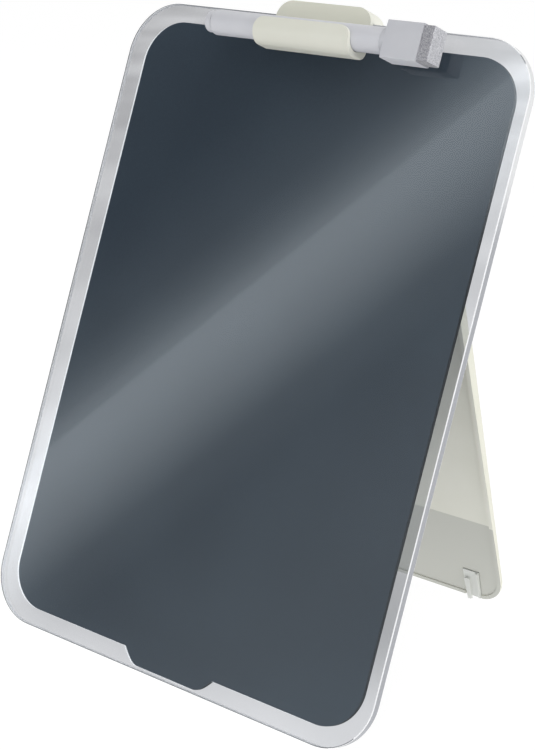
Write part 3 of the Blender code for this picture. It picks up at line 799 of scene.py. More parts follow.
@dataclass
class Board(Group):
    """Glass, tinted film, backing panel and the soft strip that they stand on."""

    width: float = 0.220
    thickness: float = 0.004
    corner: float = 0.025
    arris: float = 0.0004
    painted_shade_depth: float = 0.0013
    margin: float = 0.0081
    side_margin: float = 0.0086
    backing_corner: float = 0.0198
    backing_shift: float = 0.00075
    tab_shoulder: float = 0.0256
    tab_flat: float = 0.0165
    tab_low: float = 0.00143
    tab_steps: int = 20
    film_front: float = 0.00399
    film_back: float = 0.0045
    bond_front: float = 0.00455
    bond_back: float = 0.0048
    bond_creep: Point = (-0.0014, -0.0003)
    panel_front: float = 0.00485
    panel_back: float = 0.00605
    # How far a face's normal turns where its finish changes
    polished: float = 0.99
    ground: float = 0.05
    sideways: float = 0.3
    cut: float = 0.5

    def build(self) -> None:
        """Model the glass and its backing, and dress the plain pieces behind them, which keep their meshes."""
        self.glass()
        self.backing()
        dress(frame["nodes"]["board_foot"], (Look.SILICONE,))
        dress(frame["nodes"]["hinge_tape"], (Look.FOAM,))

    def glass(self) -> None:
        """The sheet of glass with its ground edge between polished arrises."""
        outline = rounded_outline(self.width / 2, 0, self.layout.glass_height, self.corner, self.corner, LARGE_ARC)
        blank = slab(outline, 0, self.thickness)
        # This cut only splits the edges at a depth, so that the left edge's front strip can wear the painted shade
        bmesh.ops.bisect_plane(blank, geom=[*blank.verts, *blank.edges, *blank.faces],
                               plane_co=(0, self.painted_shade_depth, 0), plane_no=(0, 1, 0))
        piece = Piece("clear_glass_sheet", Body.BOARD, Slot.GLASS, self.layout.board, "glass_panel",
                      (Look.GLASS, Look.EDGE, Look.PALE_EDGE, Look.ARRIS, Look.ARRIS_TOP, Look.ARRIS_LIT),
                      edge=self.arris, edge_steps=2, sharp=50)
        piece.make(blank, self.glass_zone)

    def glass_zone(self, face: Polygon) -> Finish:
        """Tell the polished faces, the ground edge and the arrises between them apart.

        The right front arris and the back ones wear a painted highlight, and the left and lower front arrises and the
        front strip of the left edge a painted shade. The right edge pales towards the top, the top arris towards its
        right end, and the other edges glow: painted light too.

        Args:
            face: A face of the glass.

        Returns:
            The finish that it wears.
        """
        normal = face.normal
        if abs(normal.y) > self.polished:
            return Look.GLASS
        if abs(normal.y) < self.ground:
            if normal.x > self.sideways:
                return Look.EDGE
            dark = normal.x < -self.sideways and face.center.y < self.painted_shade_depth
            return Look.ARRIS if dark else Look.PALE_EDGE
        if normal.y > 0 or normal.x > self.sideways:
            return Look.ARRIS_LIT
        return Look.ARRIS_TOP if normal.z > self.sideways else Look.ARRIS

    def backing_outline(self) -> list[Point]:
        """The backing's outline, laid a little to the right, with the tab that sweeps down to the lower edge.

        Returns:
            The outline's points.
        """
        outline = rounded_outline(self.width / 2 - self.side_margin, self.margin,
                                  self.layout.glass_height - self.margin, self.backing_corner,
                                  self.backing_corner, LARGE_ARC)
        shares = [step / self.tab_steps for step in range(self.tab_steps + 1)]
        slope = [(self.tab_shoulder + (self.tab_flat - self.tab_shoulder) * share,
                  self.margin + (self.tab_low - self.margin) * math.sin(share * math.pi / 2)) for share in shares]
        outline += [(-x, z) for x, z in slope] + slope[::-1]
        return [(x + self.backing_shift, z) for x, z in outline]

    def backing(self) -> None:
        """The film on the glass and the sheet behind it, whose edges wear a near-black painted shade.

        The film reaches a hundredth of a millimetre into the glass, as one that is wetted onto it: no back face is
        left there to mirror a second time. Its bond lies a little off it to the left and below and glows: a painted
        highlight that shows as a pale line.
        """
        outline = self.backing_outline()
        crept = [(x + self.bond_creep[0], z + self.bond_creep[1]) for x, z in outline]
        layers = slab(crept, self.bond_front, self.bond_back, slab(outline, self.film_front, self.film_back))
        film = Piece("slate_writing_film", Body.BOARD, Slot.FILM, self.layout.board, "bond_film",
                     (Look.FILM, Look.SHEET_EDGE, Look.BOND), sharp=50)
        film.make(layers, lambda face: Look.BOND if face.center.y > (self.film_back + self.bond_front) / 2
                  else self.sheet_zone(face, Look.FILM))
        sheet = Piece("slate_backing_sheet", Body.BOARD, Slot.SHEET, self.layout.board, "backing_panel",
                      (Look.SHEET, Look.SHEET_EDGE), sharp=50)
        sheet.make(slab(outline, self.panel_front, self.panel_back),
                   lambda face: self.sheet_zone(face, Look.SHEET))

    def sheet_zone(self, face: Polygon, plain: Finish) -> Finish:
        """The near-black painted shade where a face looks sideways, and the plain finish elsewhere."""
        return Look.SHEET_EDGE if abs(face.normal.y) < self.cut else plain


@dataclass
class Hinge(Group):
    """The bracket on the board's back with its two knuckles, and the pins that turn in them."""

    plate_low: float = 0.2294
    plate_high: float = 0.2444
    plate_front: float = 0.00745
    plate_back: float = 0.00945
    plate_corner: float = 0.004
    knuckle_width: float = 0.012
    knuckle_radius: float = 0.0033
    arm_top: float = 0.0079
    pin_radius: float = 0.0014
    edge: float = 0.0004
    pin_edge: float = 0.0003

    def build(self) -> None:
        """Model and dress the bracket and its pins, whose ends are chamfered."""
        self.bracket()
        for label in ("left", "right"):
            low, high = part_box(f"hinge_pin_{label}")
            pin = Piece(f"steel_pin_{label}", Body.STAND, Slot.STEEL, self.layout.stand, f"hinge_pin_{label}",
                        (Look.STEEL,), edge=self.pin_edge, edge_steps=2)
            pin.make(rod(self.pin_radius, low.x, high.x))

    def bracket(self) -> None:
        """The plate, with an arm down to each knuckle."""
        low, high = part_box("hinge_bracket")
        outline = rounded_outline((high.x - low.x) / 2, self.plate_low, self.plate_high, self.plate_corner,
                                  self.plate_corner)
        piece = Piece("hinge_bracket_moulding", Body.BOARD, Slot.IVORY, self.layout.board, "hinge_bracket",
                      (Look.IVORY,), edge=self.edge)
        axis = Matrix.Translation((0, self.layout.hinge_depth, self.layout.hinge_height))
        for side in (-1, 1):
            left = side * self.layout.knuckle_spread - self.knuckle_width / 2
            right = left + self.knuckle_width
            arm = slab(box_outline(left, right, 0, self.arm_top), -self.knuckle_radius, 0)
            knuckle = rod(self.knuckle_radius, left, right)
            bore = rod(self.pin_radius + SEAT, left - self.edge, right + self.edge)
            for bm, operation in ((arm, "UNION"), (knuckle, "UNION"), (bore, "DIFFERENCE")):
                bm.transform(axis)
                piece.cuts.append((bm, operation))
        piece.make(slab(outline, self.plate_front, self.plate_back))


@dataclass
class Stand(Group):
    """The leg, a tray that is open towards the board, and its two silicone feet."""

    width: float = 0.1646
    length: float = 0.2117
    corner: float = 0.015
    top_corner: float = 0.003
    rim: float = 0.002
    floor: float = 0.0018
    back_edge: float = 0.0012
    back_steps: int = 5
    depth_at_foot: float = 0.0004
    depth_at_hinge: float = 0.0054
    barrel: float = 0.0036
    lip_depth: float = 0.0018
    lip_reach: float = 0.004616
    lug_end: float = 0.060
    slot_half_width: float = 0.0064
    slot_root: float = 0.0042
    bore_radius: float = 0.0017
    bore_start: float = 0.0233
    pocket_centre: float = 0.06525
    pocket_width: float = 0.0094
    pocket_height: float = 0.0165
    pocket_depth: float = 0.0014
    edge: float = 0.0003
    # How far a face's normal turns where its finish changes
    inward: float = -0.5

    def build(self) -> None:
        """Model and dress the stand's pieces."""
        self.leg()
        for side, label in ((-1, "left"), (1, "right")):
            SiliconeFoot(self, side, label).build()

    def tray_floor(self, height: float) -> float:
        """Depth of the tray's inner floor at a height in the stand's frame."""
        share = (height + self.length) / self.length
        return self.depth_at_foot + (self.depth_at_hinge - self.depth_at_foot) * share - self.barrel

    def blank(self) -> BMesh:
        """The leg's outer form, with its back edges rounded.

        Returns:
            The body.
        """
        outline = rounded_outline(self.width / 2, -self.length, self.lip_reach, self.corner, self.top_corner)
        bm = slab(outline, -self.barrel, lambda z: self.tray_floor(z) + self.floor)
        back = [edge for edge in bm.edges if all(vert.co.y > self.tray_floor(vert.co.z) for vert in edge.verts)]
        bmesh.ops.bevel(bm, geom=back, offset=self.back_edge, segments=self.back_steps, profile=QUARTER_CIRCLE,
                        affect="EDGES")
        return bm

    def tray(self, front: float, top: float) -> BMesh:
        """The tray's hollow: it ends at the hinge's lugs and runs out at the top on both sides of them.

        Args:
            front: Where the cutter starts in depth.
            top: Where it ends in height.

        Returns:
            The cutter.
        """
        half = self.width / 2 - self.rim
        radius = self.corner - self.rim
        low = self.rim - self.length + radius
        outline = (arc((half - radius, low), radius, -90, 0)
                   + [(half, top), (self.lug_end, top), (self.lug_end, -self.barrel)]
                   + [(-self.lug_end, -self.barrel), (-self.lug_end, top), (-half, top)]
                   + arc((radius - half, low), radius, 180, 270))
        return slab(outline, front, self.tray_floor)

    def leg(self) -> None:
        """The moulded leg with its hinge end, tray, slots, bores and pockets."""
        front = -self.barrel - OVERRUN
        top = self.lip_reach + OVERRUN
        lip_angle = math.degrees(math.acos(self.lip_depth / self.barrel))
        rounding = arc((0, 0), self.barrel, 180, lip_angle) + [(self.lip_depth, top), (front, top), (front, 0)]
        half = self.width / 2 + OVERRUN
        cutters = [swept([(-half, y, z) for y, z in rounding], 0, half), self.tray(front, top)]
        for side in (-1, 1):
            near, far = sorted((side * self.bore_start, side * (self.lug_end + OVERRUN)))
            slot, pocket = (
                slab(box_outline(side * centre - reach, side * centre + reach, low, high), front, back)
                for centre, reach, low, high, back in (
                    (self.layout.knuckle_spread, self.slot_half_width, -self.slot_root, top, self.barrel + OVERRUN),
                    (self.pocket_centre, self.pocket_width / 2, -self.length - OVERRUN,
                     self.pocket_height - self.length, self.pocket_depth - self.barrel)))
            cutters += [slot, rod(self.bore_radius, near, far), pocket]
        piece = Piece("stand_leg_moulding", Body.STAND, Slot.IVORY, self.layout.stand, "stand_leg",
                      (Look.IVORY_STAND, Look.IVORY_SIDE), edge=self.edge,
                      cuts=[(cutter, "DIFFERENCE") for cutter in cutters])
        # The faces towards the board are a lighter copy than the outer ones: painted light that lifts their shade
        piece.make(self.blank(), lambda face: Look.IVORY_SIDE if face.normal.y > self.inward else Look.IVORY_STAND)


@dataclass
class SiliconeFoot:
    """A clear foot in its pocket: a pad, a rib that reaches the desk and a slimmer rib beside it."""

    stand: Stand
    side: int
    label: str
    pad: float = 0.0008
    rib_offset: float = 0.0022
    rib_head: float = 0.0104
    rib_radius: float = 0.0015
    toe_width: float = 0.0018
    rib_proud: float = 0.0009
    side_offset: float = 0.0035
    side_width: float = 0.0012
    side_proud: float = 0.0005
    side_inset: float = 0.0004
    edge: float = 0.00022

    def build(self) -> None:
        """Model and dress the foot."""
        stand = self.stand
        place = stand.layout.stand @ Matrix.Translation((self.side * stand.pocket_centre, -stand.barrel,
                                                         -stand.length))
        back = stand.pocket_depth - SEAT
        centre_depth = back - self.pad / 2
        half = stand.pocket_width / 2 - SEAT
        high = stand.pocket_height - SEAT
        centre = self.side * self.side_offset
        side_rib = slab(box_outline(centre - self.side_width / 2, centre + self.side_width / 2, self.side_inset,
                                    high - self.side_inset), -self.side_proud, centre_depth)
        piece = Piece(f"silicone_foot_{self.label}", Body.STAND, Slot.SILICONE, place, f"stand_foot_{self.label}",
                      (Look.SILICONE,), edge=self.edge,
                      cuts=[(self.rib(place, centre_depth), "UNION"), (side_rib, "UNION")])
        piece.make(slab(box_outline(-half, half, 0, high), back - self.pad, back))

    def rib(self, place: Matrix, back: float) -> BMesh:
        """The rib, whose toe is level with the desk.

        Args:
            place: The foot's frame.
            back: How deep the rib reaches.

        Returns:
            The rib.
        """
        low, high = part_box(f"stand_foot_{self.label}")
        toe = min((place.inverted() @ Vector((low.x, y, low.z))).z for y in (low.y, high.y))
        centre = -self.side * self.rib_offset
        rib = slab(arc((centre, self.rib_head), self.rib_radius, 0, 180)
                   + [(centre - self.toe_width / 2, toe), (centre + self.toe_width / 2, toe)], -self.rib_proud, back)
        up = place.to_3x3().inverted() @ Vector((0, 0, 1))
        for vert in rib.verts:
            if vert.co.z < 0:
                vert.co.z = -(place.translation.z + up.y * vert.co.y) / up.z
        return rib


@dataclass
class Holder(Group):
    """The trough in front of the glass with its saddle over the top edge."""

    half_width: float = 0.026
    wall: float = 0.002
    plate_wall: float = 0.0017
    trough_floor: float = 0.0024
    plate_rise: float = 0.0033
    plate_corner: float = 0.005
    face_low_corner: float = 0.0012
    face_high_corner: float = 0.008
    front_radius: float = 0.0075
    back_radius: float = 0.0045
    tab_rise: float = 0.0063
    tab_start: float = -0.003
    saddle_depth: float = 0.00635
    saddle_wall: float = 0.0025
    saddle_radius: float = 0.0045
    saddle_reach: float = 0.014
    pen_drop: float = 0.0086
    edge: float = 0.0006
    # How far a face's normal turns where its finish changes
    turned_off: float = 0.1

    @property
    def trough(self) -> float:
        """The trough's radius."""
        return self.layout.pen_radius + SEAT

    @property
    def low(self) -> float:
        """The holder's lower edge."""
        return -self.pen_drop - self.trough - self.trough_floor

    @property
    def pen_depth(self) -> float:
        """How far in front of the glass the pen's axis lies."""
        return SEAT + self.wall + self.trough

    @property
    def plate_top(self) -> float:
        """The front plate's upper edge."""
        return self.plate_rise - self.pen_drop

    @property
    def plate_back(self) -> float:
        """Depth of the front plate's inner face."""
        return -self.pen_depth - self.trough

    def outline(self) -> list[Point]:
        """Side view: front plate, trough, wall and tab, saddle and rear leg.

        Returns:
            Points of depth and height.
        """
        front = self.plate_back - self.plate_wall
        back = self.saddle_depth + self.saddle_wall
        return ([(front, self.plate_top)]
                + arc((front + self.front_radius, self.low + self.front_radius), self.front_radius, 180, 270)
                + arc((-SEAT - self.back_radius, self.low + self.back_radius), self.back_radius, 270, 360)
                + [(-SEAT, SEAT), (self.saddle_depth, SEAT)]
                + [(self.saddle_depth, -self.saddle_reach), (back, -self.saddle_reach)]
                + arc((back - self.saddle_radius, self.tab_rise - self.saddle_radius), self.saddle_radius, 0, 90)
                + [(-SEAT - self.wall, self.tab_rise)]
                + arc((-self.pen_depth, -self.pen_drop), self.trough, 360, 180, LARGE_ARC)
                + [(self.plate_back, self.plate_top)])

    def build(self) -> None:
        """Model and dress the holder."""
        front = self.plate_back - self.plate_wall - OVERRUN
        face = slab(rounded_outline(self.half_width, self.low, self.tab_rise, self.face_low_corner,
                                    self.face_high_corner),
                    front, self.saddle_depth + self.saddle_wall + OVERRUN)
        piece = Piece("pen_holder_moulding", Body.HOLDER, Slot.IVORY, self.layout.holder, "pen_holder",
                      (Look.IVORY, Look.IVORY_SIDE, Look.IVORY_RIM), edge=self.edge, edge_steps=4,
                      cuts=[(face, "INTERSECT")])
        outer = self.half_width + OVERRUN
        high = self.plate_top + OVERRUN
        centre = (self.half_width - self.plate_corner, self.plate_top - self.plate_corner)
        shape = arc(centre, self.plate_corner, 90, 0) + [(outer, centre[1]), (outer, high), (centre[0], high)]
        for side in (-1, 1):
            trim = slab([(side * x, z) for x, z in shape], front, self.plate_back + OVERRUN)
            piece.cuts.append((trim, "DIFFERENCE"))
        piece.make(swept([(-outer, y, z) for y, z in self.outline()], 0, outer), self.zone)
        dress(frame["nodes"]["holder_grip"], (Look.RUBBER,))

    def zone(self, face: Polygon) -> Finish:
        """Tell apart the front, the tab, which is painted lighter against its shade, and the ends and upper rims,
        which wear a painted highlight.

        Args:
            face: A face of the holder.

        Returns:
            The finish that it wears.
        """
        normal = face.normal
        if abs(normal.x) > self.turned_off or (normal.y < -self.turned_off and normal.z > self.turned_off):
            return Look.IVORY_RIM
        return Look.IVORY_SIDE if face.center.z > self.tab_start else Look.IVORY


@dataclass
class Pen(Group):
    """Barrel, end plug, ink reservoir, nose and nib, turned about the pen's axis."""

    left: float = 0.0534
    wall: float = 0.0013
    shoulder: float = 0.0012
    ease: float = 0.00004
    seam: float = 0.00006
    plug_radius: float = 0.0049
    plug_length: float = 0.0035
    plug_stem: float = 0.008
    plug_edge: float = 0.001
    ink_room: float = 0.0004
    nose_stem: float = 0.0095
    nose_radius: float = 0.004
    nose_length: float = 0.012
    nose_cone: float = 0.003
    nose_tip: float = 0.0026
    nib_radius: float = 0.0015
    nib_showing: float = 0.0025

    def build(self) -> None:
        """Model and dress the pen's pieces."""
        right = self.layout.barrel_right
        bore = self.layout.pen_radius - self.wall
        stem = bore - SEAT
        start = right - self.nose_stem
        shoulder = right + self.nose_length
        end = shoulder + self.nose_cone
        wick, wick_start = bore - self.ink_room, self.plug_stem - self.left + SEAT
        ink = [(0, start - SEAT), (wick, start - SEAT), (wick, wick_start), (0, wick_start)]
        hole = self.nib_radius + SEAT
        nose = [(hole, end), (self.nose_tip, end), (self.nose_radius, shoulder), (self.nose_radius, right),
                (stem, right), (stem, start), (hole, start)]
        tip = end + self.nib_showing
        nib = [(0, tip), *arc((0, tip - self.nib_radius), self.nib_radius, 90, 0, SMALL_ARC)[1:],
               (self.nib_radius, start), (0, start)]
        for name, node, slot, finish, profile, closed in (
                ("pen_barrel_tube", "pen_barrel", Slot.PEN, Look.PEN, self.barrel(bore), True),
                ("pen_tail_plug", "pen_end_plug", Slot.PEN, Look.PEN, self.plug(stem), False),
                ("ink_wick", "ink_reservoir", Slot.INK, Look.INK, ink, False),
                ("pen_nose_cone", "pen_nose", Slot.PEN, Look.PEN, nose, True),
                ("bullet_nib", "pen_nib", Slot.INK, Look.INK, nib, False)):
            piece = Piece(name, Body.PEN, slot, self.layout.pen, node, (finish,), sharp=32)
            piece.make(turned(profile, closed))

    def barrel(self, bore: float) -> list[Point]:
        """The barrel's section, with its rounded left shoulder and a right end that all but meets the collar.

        Args:
            bore: The barrel's inner radius.

        Returns:
            Points of radius and height.
        """
        outer, end = self.layout.pen_radius, self.layout.barrel_right + self.layout.barrel_reach + SEAT - self.seam
        return [(bore, end), (outer - self.ease, end), (outer, end - self.ease),
                *arc((outer - self.shoulder, self.shoulder - self.left), self.shoulder, 0, -90, SMALL_ARC),
                (bore, -self.left)]

    def plug(self, stem: float) -> list[Point]:
        """The tail plug's profile, from its stem in the barrel to its rounded end.

        Args:
            stem: The stem's radius.

        Returns:
            Points of radius and height.
        """
        start, face, end = self.plug_stem - self.left, -self.left - SEAT, -self.left - SEAT - self.plug_length
        return [(0, start), (stem, start), (stem, face), (self.plug_radius, face),
                *arc((self.plug_radius - self.plug_edge, end + self.plug_edge), self.plug_edge, 0, -90, SMALL_ARC),
                (0, end)]


@dataclass
class Cap(Group):
    """The cap with its collar and eraser block, the seal inside it and the felt on its end."""

    length: float = 0.0221
    collar_length: float = 0.004
    collar_radius: float = 0.00575
    half_height: float = 0.00825
    half_depth: float = 0.0057
    corner: float = 0.0007
    edge: float = 0.00018
    bore: float = 0.0043
    end_wall: float = 0.0033
    glue: float = 0.00005
    felt_length: float = 0.0055
    felt_step: float = 0.0005
    felt_round: float = 0.0007
    felt_steps: int = 4
    long_edge: float = 0.002
    long_edge_cuts: int = 20
    fluff: float = 0.00006
    fluff_mm: float = 0.5
    # How far a face's normal turns where its finish changes
    downward: float = 0.9
    felt_end: float = 0.6

    def build(self) -> None:
        """Model and dress the cap's pieces."""
        block = rounded_outline(self.half_depth, -self.half_height, self.half_height, self.corner, self.corner,
                                SMALL_ARC)
        piece = Piece("pen_cap_eraser_block", Body.CAP, Slot.CAP, self.layout.cap, "pen_cap",
                      (Look.CAP, Look.CAP_UNDER), edge=self.edge, sharp=50)
        for radius, low, high, operation in (
                (self.collar_radius, self.layout.barrel_reach, self.collar_length + SEAT, "UNION"),
                (self.bore, -SEAT, self.length - self.end_wall, "DIFFERENCE")):
            piece.cuts.append((turned([(0, low), (radius, low), (radius, high), (0, high)]), operation))
        # The block's downward face wears the paler copy: painted light
        piece.make(swept([(x, y, self.collar_length) for y, x in block], 2, self.length),
                   lambda face: Look.CAP_UNDER if face.normal.x > self.downward
                   and face.center.z > self.collar_length else Look.CAP)
        self.felt()
        dress(frame["nodes"]["cap_seal"], (Look.SILICONE,))

    def felt(self) -> None:
        """The felt pad: a block with a rounded end, glued on, whose surface is ruffled by its fibres."""
        start = self.length + self.glue
        bm = bmesh.new()
        bmesh.ops.create_cube(bm, size=2.0)
        for vert in bm.verts:
            vert.co.x *= self.half_height - self.felt_step
            vert.co.y *= self.half_depth - self.felt_step
            vert.co.z = start + (vert.co.z + 1) / 2 * self.felt_length
        free = [edge for edge in bm.edges if any(vert.co.z > start + self.felt_round for vert in edge.verts)]
        bmesh.ops.bevel(bm, geom=free, offset=self.felt_round, segments=self.felt_steps, profile=QUARTER_CIRCLE,
                        affect="EDGES")
        long_edges = [edge for edge in bm.edges if edge.calc_length() > self.long_edge]
        bmesh.ops.subdivide_edges(bm, edges=long_edges, cuts=self.long_edge_cuts, use_grid_fill=True)
        bm.normal_update()
        for vert in bm.verts:
            ruffle = noise.noise(vert.co * per_metre(self.fluff_mm)) - 1
            vert.co += vert.normal * self.fluff * ruffle
        piece = Piece("eraser_felt_pad", Body.CAP, Slot.FELT, self.layout.cap, "eraser_felt",
                      (Look.FELT, Look.FELT_SIDE), sharp=80)
        # The sides wear a darker copy than the end: painted shade
        piece.make(bm, lambda face: Look.FELT_SIDE if face.normal.z < self.felt_end else Look.FELT)


# The studio


def add_aimed(name: str, data: bpy.types.Camera | bpy.types.Light, place: Corner, way: Vector) -> bpy.types.Object:
    """Put a camera or a lamp in the scene.

    Args:
        name: Its name.
        data: The camera or lamp.
        place: Where it is.
        way: The way that it looks.

    Returns:
        Its object.
    """
    thing = set_up(bpy.data.objects.new(name, data), location=place,
                   rotation_euler=way.to_track_quat("-Z", "Y").to_euler())
    bpy.context.scene.collection.objects.link(thing)
    return thing


def add_stage(name: str, half_size: float, place: Matrix, material: bpy.types.Material) -> bpy.types.Object:
    """Put a flat square that isn't part of the object in the scene.

    Args:
        name: Its name.
        half_size: Half of its side.
        place: Where its frame lies.
        material: What it wears.

    Returns:
        Its object.
    """
    bm = bmesh.new()
    bmesh.ops.create_grid(bm, x_segments=1, y_segments=1, size=half_size)
    thing = as_object(name, bm, place)
    thing.data.materials.append(material)
    return thing


@dataclass
class PhotoCamera:
    """The camera at the photograph's place: to the right, in front of and above the board."""

    place: Corner = (0.45384, -0.56693, 0.38218)
    azimuth: float = math.radians(38.81)
    elevation: float = math.radians(19.58)
    lens_mm: float = 81.25
    sensor_mm: float = 36.0
    nearest: float = 0.01

    def build(self) -> None:
        """Add the camera and make it the scene's."""
        data = set_up(bpy.data.cameras.new("photo_camera"), lens=self.lens_mm, sensor_width=self.sensor_mm,
                      clip_start=self.nearest)
        level = math.cos(self.elevation)
        way = Vector((-math.sin(self.azimuth) * level, math.cos(self.azimuth) * level, -math.sin(self.elevation)))
        bpy.context.scene.camera = add_aimed("photo_camera", data, self.place, way)


@dataclass
class MirroredCard:
    """A graded light card that the glass mirrors, with a sharp edge that crosses the board from corner to corner.

    The edge is set by two points of the writing face, to the right of the middle and up the board. The card's light
    grows softly to that edge and fades away behind it.
    """

    layout: Layout
    camera: PhotoCamera
    edge_low: Point = (-0.0805, 0.0998)
    edge_high: Point = (0.0559, 0.2410)
    distance: float = 0.9
    half_size: float = 1.6
    reach: float = 0.5
    rim: Point = (0.6, 1.55)
    peak: float = 3.55
    tint: str = "#EEF8FF"
    grade_shares: tuple[Point, ...] = (
        (0.36, 0.0), (0.40, 0.045), (0.44, 0.127), (0.46, 0.25), (0.48, 0.47), (0.49, 0.67), (0.4985, 0.77),
        (0.4995, 0.985), (0.504, 1.0), (0.52, 0.975), (0.54, 0.83), (0.56, 0.66), (0.58, 0.45), (0.60, 0.25),
        (0.64, 0.165), (0.78, 0.265))

    def mirrored(self, spot: Point) -> tuple[Vector, Vector]:
        """Where the camera's ray goes once the glass has mirrored it.

        Args:
            spot: A point of the writing face.

        Returns:
            The camera's mirror image, and the mirrored ray's direction.
        """
        face = self.layout.board
        eye = Vector(self.camera.place)
        out = -(face.to_3x3() @ Vector((0, 1, 0)))
        image = eye - 2 * (eye - face.translation).dot(out) * out
        return image, (face @ Vector((spot[0], 0, spot[1])) - image).normalized()

    def build(self) -> None:
        """Add the card, seen only in mirrors."""
        middle = (0, self.layout.glass_height / 2)
        _, middle_way = self.mirrored(middle)
        plane_middle = self.layout.board @ Vector((0, 0, middle[1])) + middle_way * self.distance
        ends = []
        for spot in (self.edge_low, self.edge_high):
            start, way = self.mirrored(spot)
            ends.append(start + way * (plane_middle - start).dot(middle_way) / way.dot(middle_way))
        along = (ends[1] - ends[0]).normalized()
        across = -middle_way.cross(along)
        if across.z > 0:
            along, across = -along, -across
        place = Matrix((along, across, -middle_way)).transposed().to_4x4()
        place.translation = (ends[0] + ends[1]) / 2
        card = add_stage("mirrored_card", self.half_size, place, self.material())
        card.visible_camera = card.visible_diffuse = card.visible_shadow = False

    def material(self) -> bpy.types.Material:
        """The graded light, which only mirrored rays meet.

        The card thins out towards its rim, so that a mirror seen from the side shows no hard end of it.

        Returns:
            The material.
        """
        made = bpy.data.materials.new("graded_card")
        tree = empty_tree(made)
        point = add_node(tree, "TexCoord", "Object")
        across = add_node(tree, "SeparateXYZ", "Y", {"Vector": point})
        share = add_node(tree, "MapRange", "Result", {
            "Value": across, "From Min": -self.reach, "From Max": self.reach})
        light = add_node(tree, "ValToRGB", "Color", {"Fac": share})
        stops = light.node.color_ramp.elements
        while len(stops) < len(self.grade_shares):
            stops.new(0.5)
        for stop, (position, grade) in zip(stops, self.grade_shares):
            set_up(stop, position=position, color=(grade, grade, grade, 1.0))
        strength = add_node(tree, "Math", "Value", {0: light, 1: self.peak}, operation="MULTIPLY")
        away = add_node(tree, "VectorMath", "Value", {0: point}, operation="LENGTH")
        thickness = add_node(tree, "MapRange", "Result", {
            "Value": away, "From Min": self.rim[0], "From Max": self.rim[1], "To Min": 1.0, "To Max": 0.0},
            interpolation_type="SMOOTHSTEP")
        met = add_node(tree, "Math", "Value", {0: add_node(tree, "LightPath", "Glossy Depth"), 1: thickness},
                       operation="MULTIPLY")
        mixed = add_node(tree, "MixShader", "Shader", {
            0: met, 1: add_node(tree, "BsdfTransparent", "BSDF"),
            2: add_node(tree, "Emission", "Emission", {"Color": linear(self.tint), "Strength": strength})})
        add_node(tree, "OutputMaterial", sockets={"Surface": mixed})
        return made


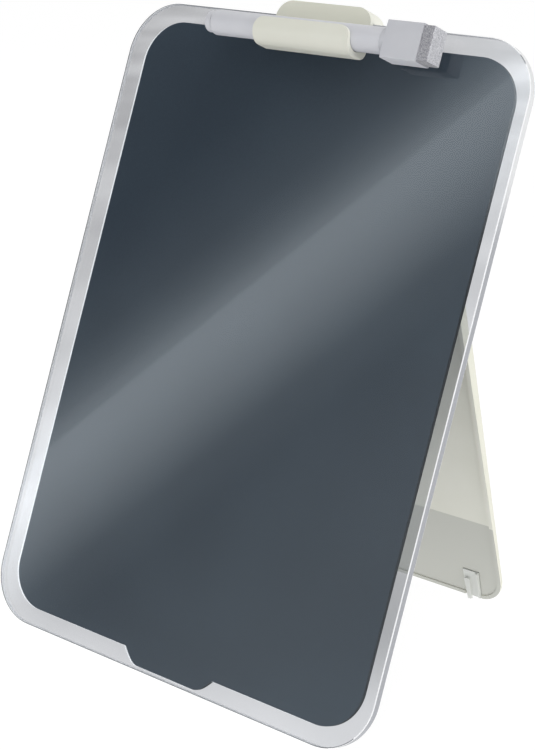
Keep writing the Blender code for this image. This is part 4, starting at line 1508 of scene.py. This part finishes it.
@dataclass
class Studio:
    """A pale desk, a white surround and soft lamps at a plain level.

    Each lamp has its name, its place, its side and its power in watts.
    """

    ambient: float = 0.41
    desk_size: float = 12.0
    desk_lift: float = -0.0002
    desk_glow: float = 0.93
    desk_bounce: float = 1.1
    desk_paint: str = "#6C6C6C"
    tent_middle: Corner = (0.0, 0.05, 0.0)
    tent_shade: Point = (0.02, 0.68)
    tent_end: Point = (0.2, 1.1)
    far_end: Point = (0.55, 0.8)
    patch_mm: float = 170.0
    dim_patch: float = 0.76
    bright_patch: float = 1.1
    lamp_target: Corner = (0.0, 0.0, 0.14)
    lamps: tuple[tuple[str, Corner, float, float], ...] = (
        ("key_lamp", (1.76, -0.23, 0.83), 1.0, 10.5),
        ("top_lamp", (0.15, -0.2, 1.62), 1.2, 7.0),
        ("front_lamp", (0.3, -1.3, 0.9), 1.2, 1.6))

    def build(self) -> None:
        """Add the surround, the desk and the lamps."""
        self.surround()
        place = Matrix.Translation((0, 0, self.desk_lift))
        add_stage("desk", self.desk_size / 2, place, self.desk_material())
        for name, place, size, power in self.lamps:
            data = set_up(bpy.data.lights.new(name, "AREA"), size=size, energy=power)
            lamp = add_aimed(name, data, place, Vector(self.lamp_target) - Vector(place))
            # A mirror seen from the side would show the lamp as a hard white square
            lamp.visible_glossy = False

    def surround(self) -> None:
        """White for the eye, in mirrors and through glass, and a softer even light for the object."""
        world = bpy.data.worlds.new("surround")
        bpy.context.scene.world = world
        tree = empty_tree(world)
        seen = add_node(tree, "LightPath", "Is Camera Ray")
        for ray in ("Is Glossy Ray", "Is Transmission Ray"):
            seen = add_node(tree, "Math", "Value", {0: seen, 1: add_node(tree, "LightPath", ray)},
                            operation="MAXIMUM")
        light, white = (add_node(tree, "Background", "Background", {"Color": linear("#FFFFFF"), "Strength": strength})
                        for strength in (self.ambient, 1.0))
        mixed = add_node(tree, "MixShader", "Shader", {0: seen, 1: light, 2: white})
        add_node(tree, "OutputWorld", sockets={"Surface": mixed})

    def desk_material(self) -> bpy.types.Material:
        """White paint that keeps a soft shadow of the object and lights it softly from below.

        Returns:
            The material.
        """
        made = bpy.data.materials.new("white_desk")
        tree = empty_tree(made)
        plain = add_node(tree, "Mix", "Result", {
            "Factor": add_node(tree, "LightPath", "Is Diffuse Ray"), "A": self.desk_glow, "B": self.desk_bounce})
        strength = add_node(tree, "Mix", "Result", {
            "Factor": add_node(tree, "LightPath", "Is Transmission Ray"), "A": plain, "B": self.shade(tree)})
        both = add_node(tree, "AddShader", "Shader", {
            0: add_node(tree, "BsdfDiffuse", "BSDF", {"Color": linear(self.desk_paint)}),
            1: add_node(tree, "Emission", "Emission", {"Strength": strength})})
        add_node(tree, "OutputMaterial", sockets={"Surface": both})
        return made

    def shade(self, tree: Tree) -> Socket:
        """How bright the desk is through the glass: a painted shadow under the tent of board and stand, and patchy
        around it.

        Args:
            tree: The desk's node tree.

        Returns:
            The brightness.
        """
        point = add_node(tree, "TexCoord", "Object")
        away = add_node(tree, "VectorMath", "Value", {0: point, 1: self.tent_middle}, operation="DISTANCE")
        grain = add_node(tree, "TexNoise", "Fac", {"Vector": point, "Scale": per_metre(self.patch_mm), "Detail": 1.0})
        patches = add_node(tree, "MapRange", "Result", {
            "Value": grain, "From Min": NOISE_LOW, "From Max": NOISE_HIGH, "To Min": self.dim_patch,
            "To Max": self.bright_patch})
        rising, falling = (add_node(tree, "MapRange", "Result", {
            "Value": away, "From Min": start, "From Max": end, "To Min": low, "To Max": high},
            interpolation_type="SMOOTHSTEP") for (start, low), (end, high) in (
                (self.tent_shade, self.tent_end), ((self.tent_end[0], 1.0), self.far_end)))
        for share in (falling, patches):
            rising = add_node(tree, "Math", "Value", {0: rising, 1: share}, operation="MULTIPLY")
        return rising


def main() -> None:
    """Build the object, then the studio around it."""
    logging.basicConfig(level=logging.INFO, format="%(message)s")
    layout = Layout()
    for group in (Board, Hinge, Stand, Holder, Pen, Cap):
        group(layout).build()
        LOG.info("%s is built", group.__name__)
    camera = PhotoCamera()
    camera.build()
    Studio().build()
    MirroredCard(layout, camera).build()
    bpy.context.scene.view_settings.view_transform = "Standard"


if __name__ == "__main__":
    main()
